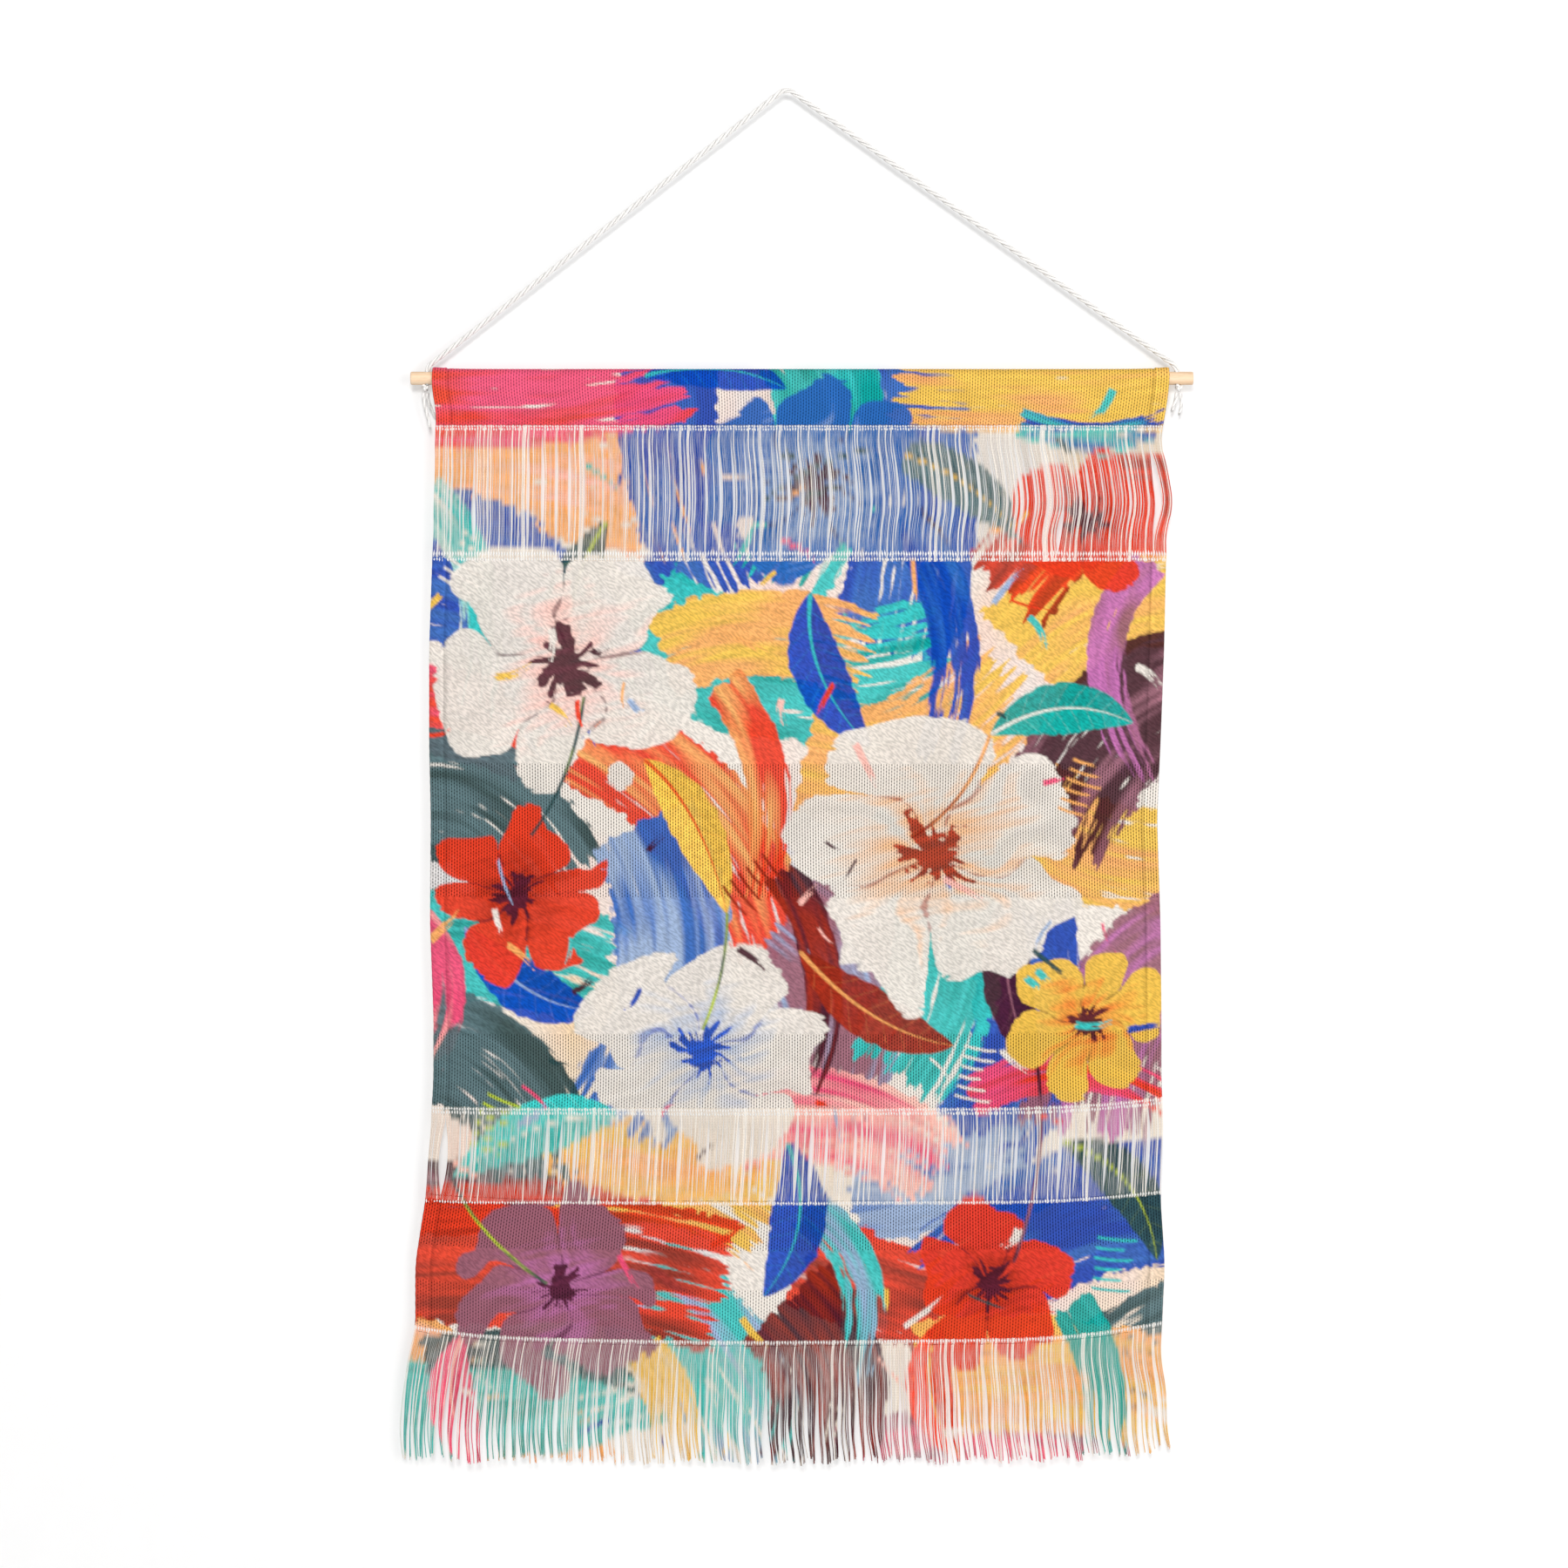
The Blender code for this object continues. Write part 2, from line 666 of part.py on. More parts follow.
def cut_gaps(bm: bmesh.types.BMesh, band: LockBand, strip_rows: tuple[int, ...], rows: int) -> None:
    """Delete the cells between the locks, but not those in the strips that hold them."""
    bm.faces.ensure_lookup_table()
    columns = 2 * band.count - 1
    gaps = []
    for index, face in enumerate(bm.faces):
        column = index % columns
        row = rows - 1 - index // columns
        if column % 2 == 1 and row not in strip_rows:
            gaps.append(face)
    bmesh.ops.delete(bm, geom=gaps, context="FACES")


def make_open_band(
    name: str,
    lines: tuple[Line, Line, Line, Line],
    band: LockBand,
    slits: tuple[Slit, ...],
    home: bpy.types.Collection,
    finish: Finish,
) -> bpy.types.Object:
    """Warp yarns in locks between two narrow woven strips, each parted from the sheet beside it."""
    columns = lock_columns(band)
    strip_top, locks_top, locks_end, strip_end = lines
    rows = band.steps + 2

    def place(column: int, row: int) -> Vector:
        across = columns[column]
        if row == 0:
            return cloth_point(across, line_drop(strip_top.lowered(GAP), across))
        if row == rows:
            return cloth_point(across, line_drop(strip_end.lowered(-GAP), across))
        share = (row - 1) / band.steps
        high, low = line_drop(locks_top, across), line_drop(locks_end, across)
        drop = high + (low - high) * share
        lock = column // 2
        free = math.sin(math.pi * share)
        left, right = edge_places(drop)
        x = left + across * (right - left)
        inner = 0.0 if column in (0, len(columns) - 1) else 1.0
        shift = inner * (slit_push(x, drop, slits) + free * LOCK_SWAY * uneven(lock))
        return cloth_point(across, drop, shift, free * LOCK_SWAY * uneven(lock + LOCK_BACK_PHASE))

    bm = grid_sheet(len(columns) - 1, rows, place)
    cut_gaps(bm, band, (0, rows - 1), rows)
    piece = add_piece(name, mesh_from(bm, name), home, finish)
    solidify(piece, LOCK_THICKNESS)
    return piece


def make_fringe(home: bpy.types.Collection) -> bpy.types.Object:
    """The free warp ends in tapering locks under a narrow woven strip."""
    columns = lock_columns(FRINGE_LOCKS)
    rows = FRINGE_LOCKS.steps + 1
    pitch = 1 / FRINGE_LOCKS.count

    def place(column: int, row: int) -> Vector:
        across = columns[column]
        if row == 0:
            return cloth_point(across, line_drop(LOWER_PANEL_END.lowered(GAP), across))
        share = (row - 1) / FRINGE_LOCKS.steps
        lock = column // 2
        middle = (lock + 0.5) * pitch
        across = middle + (across - middle) * (1 - (1 - FRINGE_TAPER) * share * share)
        high = line_drop(FRINGE_STRIP, across)
        low = line_drop(FRINGE_END, across) + FRINGE_UNEVEN * uneven(lock + FRINGE_LENGTH_PHASE)
        drop = high + (low - high) * share
        shift = share * FRINGE_SWAY * uneven(lock)
        return cloth_point(across, drop, shift, share * FRINGE_SWAY * uneven(lock + FRINGE_BACK_PHASE))

    bm = grid_sheet(len(columns) - 1, rows, place)
    cut_gaps(bm, FRINGE_LOCKS, (0,), rows)
    piece = add_piece("hem_fringe", mesh_from(bm, "hem_fringe"), home, FRINGE_YARN)
    solidify(piece, LOCK_THICKNESS)
    return piece


def main() -> None:
    """Build the whole hanging."""
    clear_scene()
    parts = new_collection("textile_wall_hanging")
    cutters = new_collection("cutters")
    make_dowel(parts, cutters)
    make_hanger_cord(parts, cutters)
    make_knot("left", KNOT_LEFT, parts, cutters)
    make_knot("right", KNOT_RIGHT, parts, cutters)
    make_tails(parts)
    make_header(parts)
    upper = (HEADER_SEAM, UPPER_STRIP, UPPER_BAND_END, MAIN_TOP)
    make_open_band("upper_warp_band", upper, UPPER_LOCKS, UPPER_SLITS, parts, UPPER_YARN)
    make_panel("main_panel", MAIN_BANDS, MAIN_END, parts, MAIN_CLOTH)
    lower = (MAIN_END, LOWER_STRIP, LOWER_BAND_END, LOWER_PANEL_TOP)
    make_open_band("lower_warp_band", lower, LOWER_LOCKS, LOWER_SLITS, parts, LOWER_YARN)
    make_panel("lower_panel", LOWER_BANDS, LOWER_PANEL_END, parts, LOWER_CLOTH)
    make_fringe(parts)


main()
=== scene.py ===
"""Looks of the textile wall hanging: its rope, knots, dowel, woven cloth and free yarns, around the frame."""

import logging
import math
from collections.abc import Sequence
from dataclasses import dataclass, field
from enum import Enum

import bpy
import numpy as np
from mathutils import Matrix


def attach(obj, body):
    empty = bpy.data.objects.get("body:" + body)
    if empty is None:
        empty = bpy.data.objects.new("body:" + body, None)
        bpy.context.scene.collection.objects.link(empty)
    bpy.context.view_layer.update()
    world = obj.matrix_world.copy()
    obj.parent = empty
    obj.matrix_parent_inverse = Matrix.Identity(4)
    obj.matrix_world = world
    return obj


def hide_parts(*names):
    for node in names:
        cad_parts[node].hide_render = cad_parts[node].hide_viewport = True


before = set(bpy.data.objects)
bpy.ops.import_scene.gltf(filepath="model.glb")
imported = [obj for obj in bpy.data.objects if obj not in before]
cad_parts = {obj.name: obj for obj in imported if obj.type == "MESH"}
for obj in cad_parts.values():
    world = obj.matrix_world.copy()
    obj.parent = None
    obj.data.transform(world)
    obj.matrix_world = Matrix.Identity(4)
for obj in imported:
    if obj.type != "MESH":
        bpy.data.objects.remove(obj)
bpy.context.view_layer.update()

LOG = logging.getLogger("wall_hanging")
BODY = "root"
# Yarns across the cloth, yarns in each side hem, and front grid cells to one cell of the back.
COLUMNS = 540
HEM_COLUMNS = 10
BACK_STEP = 3
GOLDEN_ANGLE = math.pi * (3 - math.sqrt(5))
CREPE_SLANT = 0.55
HASH_STEPS = (374761393, 668265263, 1442695041)
HASH_MIX = 1274126177
HASH_MASK = 0xFFFFFFFF
NOISE_MASK = 0xFFFF
# Where the front, the rim and the back of a sheet lie on its baked map.
MAP_EDGE = 0.01
MAP_WIDTH = 0.98
FRONT_HEIGHT = 0.79
RIM_TOP, RIM_LOW = 0.815, 0.83
BACK_TOP, BACK_HEIGHT = 0.85, 0.14
Point2 = tuple[float, float]
Point3 = tuple[float, float, float]


def uneven(index: np.ndarray | float) -> np.ndarray:
    """Returns a repeatable number from -1 to 1 for each index."""
    return np.sin(GOLDEN_ANGLE * np.square(index))


def lattice_noise(u: np.ndarray, v: np.ndarray, seed: int) -> np.ndarray:
    """Smooth noise on a unit lattice.

    Args:
        u: First coordinate, one lattice cell per unit.
        v: Second coordinate.
        seed: Number that picks the noise.

    Returns:
        Values from 0 to 1.
    """
    column = np.floor(u).astype(np.int64)
    row = np.floor(v).astype(np.int64)
    across = u - column
    down = v - row
    across = across * across * (3 - 2 * across)
    down = down * down * (3 - 2 * down)

    def corner(shift_u: int, shift_v: int) -> np.ndarray:
        """Returns the lattice value at one corner of each cell."""
        cell = (column + shift_u) * HASH_STEPS[0] + (row + shift_v) * HASH_STEPS[1] + seed * HASH_STEPS[2]
        mixed = cell & HASH_MASK
        mixed = ((mixed ^ (mixed >> 13)) * HASH_MIX) & HASH_MASK
        return ((mixed ^ (mixed >> 16)) & NOISE_MASK) / NOISE_MASK

    top = corner(0, 0) * (1 - across) + corner(1, 0) * across
    low = corner(0, 1) * (1 - across) + corner(1, 1) * across
    return top * (1 - down) + low * down


def unit(vectors: np.ndarray) -> np.ndarray:
    """Returns the vectors at length 1."""
    return vectors / np.maximum(np.linalg.norm(vectors, axis=-1, keepdims=True), 1e-12)


def reach_along(points: np.ndarray) -> np.ndarray:
    """Returns the length of each path up to each of its points."""
    steps = np.linalg.norm(np.diff(points, axis=-2), axis=-1)
    return np.concatenate((np.zeros((*steps.shape[:-1], 1)), np.cumsum(steps, axis=-1)), axis=-1)


def linear(levels: Sequence[int]) -> np.ndarray:
    """Returns display levels from 0 to 255 as linear light."""
    share = np.array(levels, float) / 255
    return np.where(share <= 0.04045, share / 12.92, ((share + 0.055) / 1.055) ** 2.4)


class Ink(Enum):
    """Printing inks and yarn colours, as display colours."""

    CREAM = (231, 223, 214)
    RED_ORANGE = (228, 60, 30)
    BROWN_RED = (150, 40, 20)
    COBALT = (0, 66, 172)
    MID_BLUE = (40, 100, 182)
    TURQUOISE = (56, 190, 186)
    TEAL = (0, 158, 150)
    MUSTARD = (236, 190, 78)
    PEACH = (241, 170, 98)
    PLUM = (68, 20, 38)
    MAUVE = (150, 95, 112)
    SLATE = (80, 110, 116)
    SLATE_DARK = (44, 74, 76)
    PINK = (232, 78, 118)
    LILAC = (190, 110, 172)
    PERIWINKLE = (150, 172, 206)
    PALE_PINK = (246, 184, 172)
    LIME = (182, 200, 52)
    WHITE = (250, 248, 245)
    THREAD_DARK = (70, 48, 44)

    @property
    def light(self) -> np.ndarray:
        """The ink as linear light."""
        return linear(self.value)


@dataclass(frozen=True)
class Stroke:
    """One pull of a broad brush along a bent line."""

    start: Point2
    bend: Point2
    end: Point2
    width: float
    ink: Ink
    streak: Ink
    dryness: float = 0.30

    def line(self) -> np.ndarray:
        """Returns the points of the bent line, in sixteen straight pieces."""
        share = np.linspace(0, 1, 17)[:, None]
        start, bend, end = (np.array(p) for p in (self.start, self.bend, self.end))
        return (1 - share) ** 2 * start + 2 * share * (1 - share) * bend + share**2 * end


@dataclass(frozen=True)
class Blossom:
    """One round open flower."""

    middle: Point2
    radius: float
    petals: int
    ink: Ink
    blush: Ink
    heart: Ink


@dataclass(frozen=True)
class Leaf:
    """One almond leaf with a midrib."""

    base: Point2
    bend: Point2
    tip: Point2
    width: float
    ink: Ink
    rib: Ink


GROUND_STROKES = (
    Stroke((-0.36, 0.33), (-0.22, 0.30), (-0.08, 0.36), 0.12, Ink.PEACH, Ink.PALE_PINK),
    Stroke((-0.09, 0.16), (-0.12, 0.30), (-0.06, 0.42), 0.10, Ink.COBALT, Ink.MID_BLUE),
    Stroke((0.07, 0.16), (0.13, 0.30), (0.09, 0.46), 0.13, Ink.MID_BLUE, Ink.COBALT),
    Stroke((0.20, 0.47), (0.27, 0.40), (0.38, 0.42), 0.12, Ink.MUSTARD, Ink.PEACH),
    Stroke((-0.12, 0.44), (-0.02, 0.52), (0.12, 0.48), 0.13, Ink.TURQUOISE, Ink.TEAL),
    Stroke((0.02, 0.56), (0.10, 0.58), (0.18, 0.50), 0.12, Ink.PEACH, Ink.MUSTARD),
    Stroke((-0.38, 0.53), (-0.30, 0.50), (-0.22, 0.54), 0.09, Ink.PINK, Ink.RED_ORANGE),
    Stroke((-0.16, 0.54), (-0.05, 0.60), (-0.02, 0.72), 0.11, Ink.RED_ORANGE, Ink.PEACH),
    Stroke((0.20, 0.60), (0.26, 0.66), (0.38, 0.64), 0.11, Ink.MUSTARD, Ink.PEACH),
    Stroke((-0.38, 0.72), (-0.26, 0.70), (-0.16, 0.74), 0.11, Ink.TURQUOISE, Ink.TEAL),
    Stroke((0.00, 0.70), (0.08, 0.76), (0.02, 0.86), 0.12, Ink.MAUVE, Ink.PERIWINKLE),
    Stroke((0.16, 0.88), (0.22, 0.82), (0.20, 0.70), 0.11, Ink.COBALT, Ink.MID_BLUE),
    Stroke((-0.20, 0.92), (-0.10, 0.88), (-0.02, 0.94), 0.11, Ink.MUSTARD, Ink.PEACH),
    Stroke((-0.38, 0.91), (-0.28, 0.94), (-0.20, 0.92), 0.08, Ink.PLUM, Ink.MAUVE),
    Stroke((0.06, 0.93), (0.14, 0.92), (0.20, 0.90), 0.09, Ink.PERIWINKLE, Ink.MID_BLUE),
    Stroke((0.02, 0.98), (0.10, 1.02), (0.22, 1.04), 0.10, Ink.RED_ORANGE, Ink.BROWN_RED),
    Stroke((-0.12, 1.00), (-0.06, 1.04), (-0.02, 1.14), 0.12, Ink.TURQUOISE, Ink.PERIWINKLE),
    Stroke((0.22, 1.12), (0.28, 1.04), (0.38, 1.02), 0.10, Ink.SLATE, Ink.SLATE_DARK),
    Stroke((-0.38, 1.05), (-0.26, 1.08), (-0.16, 1.18), 0.11, Ink.PEACH, Ink.PALE_PINK),
    Stroke((0.06, 1.16), (0.16, 1.12), (0.26, 1.17), 0.10, Ink.PINK, Ink.MAUVE),
)
BROAD_STROKES = (
    Stroke((-0.36, 0.25), (-0.22, 0.27), (-0.10, 0.24), 0.10, Ink.PINK, Ink.RED_ORANGE),
    Stroke((0.02, 0.22), (0.06, 0.30), (0.00, 0.40), 0.11, Ink.TURQUOISE, Ink.TEAL),
    Stroke((0.34, 0.24), (0.22, 0.25), (0.10, 0.24), 0.10, Ink.MUSTARD, Ink.PEACH),
    Stroke((0.34, 0.35), (0.25, 0.33), (0.19, 0.41), 0.10, Ink.RED_ORANGE, Ink.BROWN_RED),
    Stroke((-0.34, 0.40), (-0.22, 0.38), (-0.16, 0.52), 0.15, Ink.COBALT, Ink.MID_BLUE),
    Stroke((-0.34, 0.60), (-0.26, 0.56), (-0.20, 0.66), 0.13, Ink.SLATE, Ink.SLATE_DARK),
    Stroke((0.34, 0.50), (0.26, 0.52), (0.22, 0.62), 0.13, Ink.PLUM, Ink.MAUVE),
    Stroke((-0.10, 0.47), (-0.02, 0.44), (0.06, 0.47), 0.09, Ink.PEACH, Ink.MUSTARD),
    Stroke((0.12, 0.60), (0.16, 0.72), (0.10, 0.82), 0.12, Ink.TURQUOISE, Ink.TEAL),
    Stroke((-0.12, 0.62), (-0.06, 0.74), (-0.14, 0.86), 0.12, Ink.PERIWINKLE, Ink.MID_BLUE),
    Stroke((0.34, 0.72), (0.27, 0.74), (0.25, 0.86), 0.13, Ink.MAUVE, Ink.LILAC),
    Stroke((-0.34, 0.80), (-0.24, 0.78), (-0.20, 0.90), 0.12, Ink.SLATE, Ink.SLATE_DARK),
    Stroke((-0.04, 0.86), (0.04, 0.84), (0.12, 0.90), 0.10, Ink.PALE_PINK, Ink.PINK),
    Stroke((0.34, 0.93), (0.24, 0.92), (0.14, 1.00), 0.13, Ink.COBALT, Ink.MID_BLUE),
    Stroke((-0.34, 0.98), (-0.20, 0.96), (-0.06, 1.00), 0.14, Ink.RED_ORANGE, Ink.BROWN_RED),
    Stroke((0.00, 1.02), (0.06, 1.08), (0.02, 1.16), 0.12, Ink.PLUM, Ink.BROWN_RED),
    Stroke((0.12, 1.08), (0.22, 1.06), (0.34, 1.10), 0.12, Ink.PEACH, Ink.MUSTARD),
    Stroke((-0.34, 1.10), (-0.24, 1.12), (-0.12, 1.08), 0.10, Ink.TURQUOISE, Ink.TEAL),
)
DRY_STROKES = (
    Stroke((-0.30, 0.34), (-0.24, 0.40), (-0.26, 0.50), 0.045, Ink.TURQUOISE, Ink.CREAM, 0.45),
    Stroke((0.10, 0.36), (0.16, 0.44), (0.13, 0.54), 0.050, Ink.COBALT, Ink.MID_BLUE, 0.40),
    Stroke((0.30, 0.40), (0.24, 0.46), (0.29, 0.56), 0.040, Ink.LILAC, Ink.MAUVE, 0.45),
    Stroke((-0.05, 0.50), (0.00, 0.56), (-0.02, 0.66), 0.045, Ink.RED_ORANGE, Ink.PEACH, 0.42),
    Stroke((-0.31, 0.70), (-0.27, 0.74), (-0.30, 0.80), 0.045, Ink.PINK, Ink.PALE_PINK, 0.45),
    Stroke((0.00, 0.66), (0.05, 0.74), (0.02, 0.82), 0.040, Ink.PLUM, Ink.BROWN_RED, 0.40),
    Stroke((0.16, 0.84), (0.24, 0.80), (0.31, 0.84), 0.045, Ink.PINK, Ink.RED_ORANGE, 0.42),
    Stroke((-0.18, 0.88), (-0.10, 0.92), (-0.02, 0.90), 0.050, Ink.PEACH, Ink.MUSTARD, 0.42),
    Stroke((0.02, 0.94), (0.08, 0.98), (0.06, 1.06), 0.045, Ink.TURQUOISE, Ink.PERIWINKLE, 0.45),
    Stroke((-0.30, 1.06), (-0.22, 1.04), (-0.12, 1.08), 0.040, Ink.SLATE_DARK, Ink.SLATE, 0.40),
    Stroke((0.24, 1.02), (0.28, 1.08), (0.26, 1.16), 0.045, Ink.TEAL, Ink.TURQUOISE, 0.45),
    Stroke((-0.12, 1.06), (-0.08, 1.10), (-0.10, 1.16), 0.050, Ink.MUSTARD, Ink.CREAM, 0.42),
    Stroke((0.20, 0.28), (0.26, 0.30), (0.31, 0.28), 0.030, Ink.COBALT, Ink.TURQUOISE, 0.42),
)
BLOSSOMS = (
    Blossom((-0.185, 0.480), 0.125, 5, Ink.CREAM, Ink.PALE_PINK, Ink.PLUM),
    Blossom((0.020, 0.330), 0.105, 6, Ink.MID_BLUE, Ink.PERIWINKLE, Ink.PLUM),
    Blossom((0.125, 0.640), 0.135, 5, Ink.CREAM, Ink.PEACH, Ink.BROWN_RED),
    Blossom((-0.225, 0.675), 0.085, 6, Ink.RED_ORANGE, Ink.BROWN_RED, Ink.PLUM),
    Blossom((-0.070, 0.805), 0.110, 5, Ink.CREAM, Ink.PERIWINKLE, Ink.COBALT),
    Blossom((0.250, 0.780), 0.075, 6, Ink.MUSTARD, Ink.RED_ORANGE, Ink.PLUM),
    Blossom((-0.190, 1.005), 0.095, 6, Ink.MAUVE, Ink.LILAC, Ink.PLUM),
    Blossom((0.170, 1.000), 0.080, 5, Ink.RED_ORANGE, Ink.BROWN_RED, Ink.PLUM),
    Blossom((0.250, 0.360), 0.070, 5, Ink.RED_ORANGE, Ink.BROWN_RED, Ink.PLUM),
)
LEAVES = (
    Leaf((-0.15, 0.36), (-0.20, 0.43), (-0.17, 0.51), 0.050, Ink.SLATE_DARK, Ink.LIME),
    Leaf((0.07, 0.30), (0.15, 0.31), (0.20, 0.38), 0.046, Ink.SLATE, Ink.MUSTARD),
    Leaf((0.02, 0.42), (0.01, 0.49), (0.07, 0.55), 0.050, Ink.COBALT, Ink.TURQUOISE),
    Leaf((0.17, 0.54), (0.23, 0.50), (0.29, 0.53), 0.048, Ink.TEAL, Ink.CREAM),
    Leaf((-0.12, 0.56), (-0.07, 0.60), (-0.05, 0.69), 0.046, Ink.MUSTARD, Ink.RED_ORANGE),
    Leaf((-0.27, 0.70), (-0.22, 0.77), (-0.16, 0.77), 0.050, Ink.COBALT, Ink.PERIWINKLE),
    Leaf((0.19, 0.66), (0.17, 0.75), (0.21, 0.82), 0.046, Ink.PLUM, Ink.MAUVE),
    Leaf((0.01, 0.72), (0.07, 0.79), (0.14, 0.80), 0.048, Ink.BROWN_RED, Ink.PEACH),
    Leaf((-0.14, 0.86), (-0.20, 0.85), (-0.28, 0.91), 0.050, Ink.TURQUOISE, Ink.CREAM),
    Leaf((0.00, 0.88), (0.03, 0.95), (-0.02, 1.01), 0.052, Ink.COBALT, Ink.TURQUOISE),
    Leaf((0.23, 0.88), (0.30, 0.90), (0.31, 0.98), 0.046, Ink.SLATE_DARK, Ink.LIME),
    Leaf((0.13, 1.03), (0.10, 1.09), (0.15, 1.15), 0.044, Ink.RED_ORANGE, Ink.MUSTARD),
    Leaf((-0.27, 1.04), (-0.30, 1.10), (-0.25, 1.16), 0.044, Ink.PINK, Ink.PALE_PINK),
    Leaf((-0.12, 0.24), (-0.06, 0.22), (0.00, 0.25), 0.040, Ink.COBALT, Ink.TURQUOISE),
)
STEMS = (
    Stroke((-0.17, 0.51), (-0.18, 0.58), (-0.215, 0.625), 0.0045, Ink.SLATE_DARK, Ink.LIME, 0.1),
    Stroke((0.07, 0.30), (0.02, 0.31), (-0.02, 0.345), 0.0045, Ink.SLATE_DARK, Ink.SLATE, 0.1),
    Stroke((0.105, 0.625), (0.15, 0.60), (0.17, 0.54), 0.0050, Ink.BROWN_RED, Ink.PEACH, 0.1),
    Stroke((-0.07, 0.785), (-0.05, 0.74), (-0.05, 0.69), 0.0045, Ink.SLATE_DARK, Ink.LIME, 0.1),
    Stroke((0.21, 0.82), (0.22, 0.90), (0.19, 0.98), 0.0050, Ink.PLUM, Ink.MAUVE, 0.1),
    Stroke((-0.28, 0.91), (-0.26, 0.96), (-0.20, 1.00), 0.0045, Ink.SLATE_DARK, Ink.LIME, 0.1),
)
HATCHES = (
    (-0.27, 0.37, 0.5, Ink.CREAM), (0.24, 0.56, 0.3, Ink.PEACH), (-0.02, 0.64, 0.9, Ink.BROWN_RED),
    (0.15, 0.80, 0.2, Ink.CREAM), (-0.25, 0.84, 0.4, Ink.LIME), (0.26, 0.96, 0.1, Ink.TURQUOISE),
)


@dataclass
class PrintedDesign:
    """The generic painted pattern, laid out flat before it is woven into the pieces.

    The canvas is measured in x across the cloth and in drop below the hang point, both in metres.
    """

    left: float = -0.350
    top: float = 0.170
    width: float = 0.700
    height: float = 1.000
    cell: float = 0.0009
    seed: int = 23
    soft_side: float = 0.0011
    soft_end: float = 0.0012
    dashes: int = 6
    dash_gap: float = 0.0085
    dash_length: float = 0.024
    dash_width: float = 0.0042
    first_dash: int = 600
    flicks: int = 90
    first_flick: int = 800
    canvas: np.ndarray = field(init=False)

    def paint(self) -> None:
        """Paints the whole canvas, ground first and small marks last."""
        shape = (round(self.height / self.cell), round(self.width / self.cell))
        self.canvas = np.empty((*shape, 3))
        self.canvas[:] = Ink.CREAM.light
        self._ground()
        layers = (
            (GROUND_STROKES, 50, self._stroke), (BROAD_STROKES, 0, self._stroke),
            (DRY_STROKES, 100, self._stroke), (LEAVES, 200, self._leaf),
            (BLOSSOMS, 300, self._blossom), (STEMS, 400, self._stroke),
        )
        for marks, first, paint_mark in layers:
            for number, mark in enumerate(marks, first):
                paint_mark(mark, number)
        self._small_marks()
        np.clip(self.canvas, 0.0, 1.0, out=self.canvas)

    def sample(self, x: np.ndarray, drop: np.ndarray) -> np.ndarray:
        """Reads the design between its cells.

        Args:
            x: Places across the cloth.
            drop: Places below the hang point.

        Returns:
            Linear colours, one per place.
        """
        rows, columns = self.canvas.shape[:2]
        u = np.clip((x - self.left) / self.cell - 0.5, 0, columns - 1.001)
        v = np.clip((drop - self.top) / self.cell - 0.5, 0, rows - 1.001)
        column = u.astype(int)
        row = v.astype(int)
        across = (u - column)[..., None]
        down = (v - row)[..., None]
        upper = self.canvas[row, column] * (1 - across) + self.canvas[row, column + 1] * across
        lower = self.canvas[row + 1, column] * (1 - across) + self.canvas[row + 1, column + 1] * across
        return upper * (1 - down) + lower * down

    def _window(self, low: np.ndarray, high: np.ndarray) -> tuple[np.ndarray, np.ndarray, np.ndarray]:
        """Cuts a window from the canvas.

        Args:
            low: Least x and drop.
            high: Greatest x and drop.

        Returns:
            The view of the canvas, and the x and drop of its cells.
        """
        rows, columns = self.canvas.shape[:2]
        first_column = int(np.clip((low[0] - self.left) / self.cell, 0, columns - 1))
        last_column = int(np.clip((high[0] - self.left) / self.cell + 1, first_column + 1, columns))
        first_row = int(np.clip((low[1] - self.top) / self.cell, 0, rows - 1))
        last_row = int(np.clip((high[1] - self.top) / self.cell + 1, first_row + 1, rows))
        x = self.left + (np.arange(first_column, last_column) + 0.5) * self.cell
        drop = self.top + (np.arange(first_row, last_row) + 0.5) * self.cell
        grid_x, grid_drop = np.meshgrid(x, drop)
        return self.canvas[first_row:last_row, first_column:last_column], grid_x, grid_drop

    @staticmethod
    def _along(x: np.ndarray, drop: np.ndarray, line: np.ndarray) -> tuple[np.ndarray, np.ndarray]:
        """Measures places against a bent line.

        Args:
            x: Places across the cloth.
            drop: Places below the hang point.
            line: Points of the line.

        Returns:
            How far along the line each place is, 0 to 1 between its ends and beyond them straight on, and its
            signed distance from the line.
        """
        nearest = np.full(x.shape, np.inf)
        along = np.zeros_like(x)
        side = np.ones_like(x)
        for index, (start, end) in enumerate(zip(line[:-1], line[1:])):
            step = end - start
            share = ((x - start[0]) * step[0] + (drop - start[1]) * step[1]) / (step @ step)
            low = -np.inf if index == 0 else 0.0
            high = np.inf if index == len(line) - 2 else 1.0
            share = np.clip(share, low, high)
            off_x = x - start[0] - share * step[0]
            off_drop = drop - start[1] - share * step[1]
            away = off_x**2 + off_drop**2
            closer = away < nearest
            nearest = np.where(closer, away, nearest)
            along = np.where(closer, (index + share) / (len(line) - 1), along)
            side = np.where(closer, np.sign(step[0] * off_drop - step[1] * off_x), side)
        return along, np.sqrt(nearest) * np.where(side == 0, 1, side)

    @staticmethod
    def _lay(view: np.ndarray, colour: np.ndarray, cover: np.ndarray) -> None:
        """Lays a colour over a window by its cover."""
        view += (colour - view) * np.clip(cover, 0, 1)[..., None]

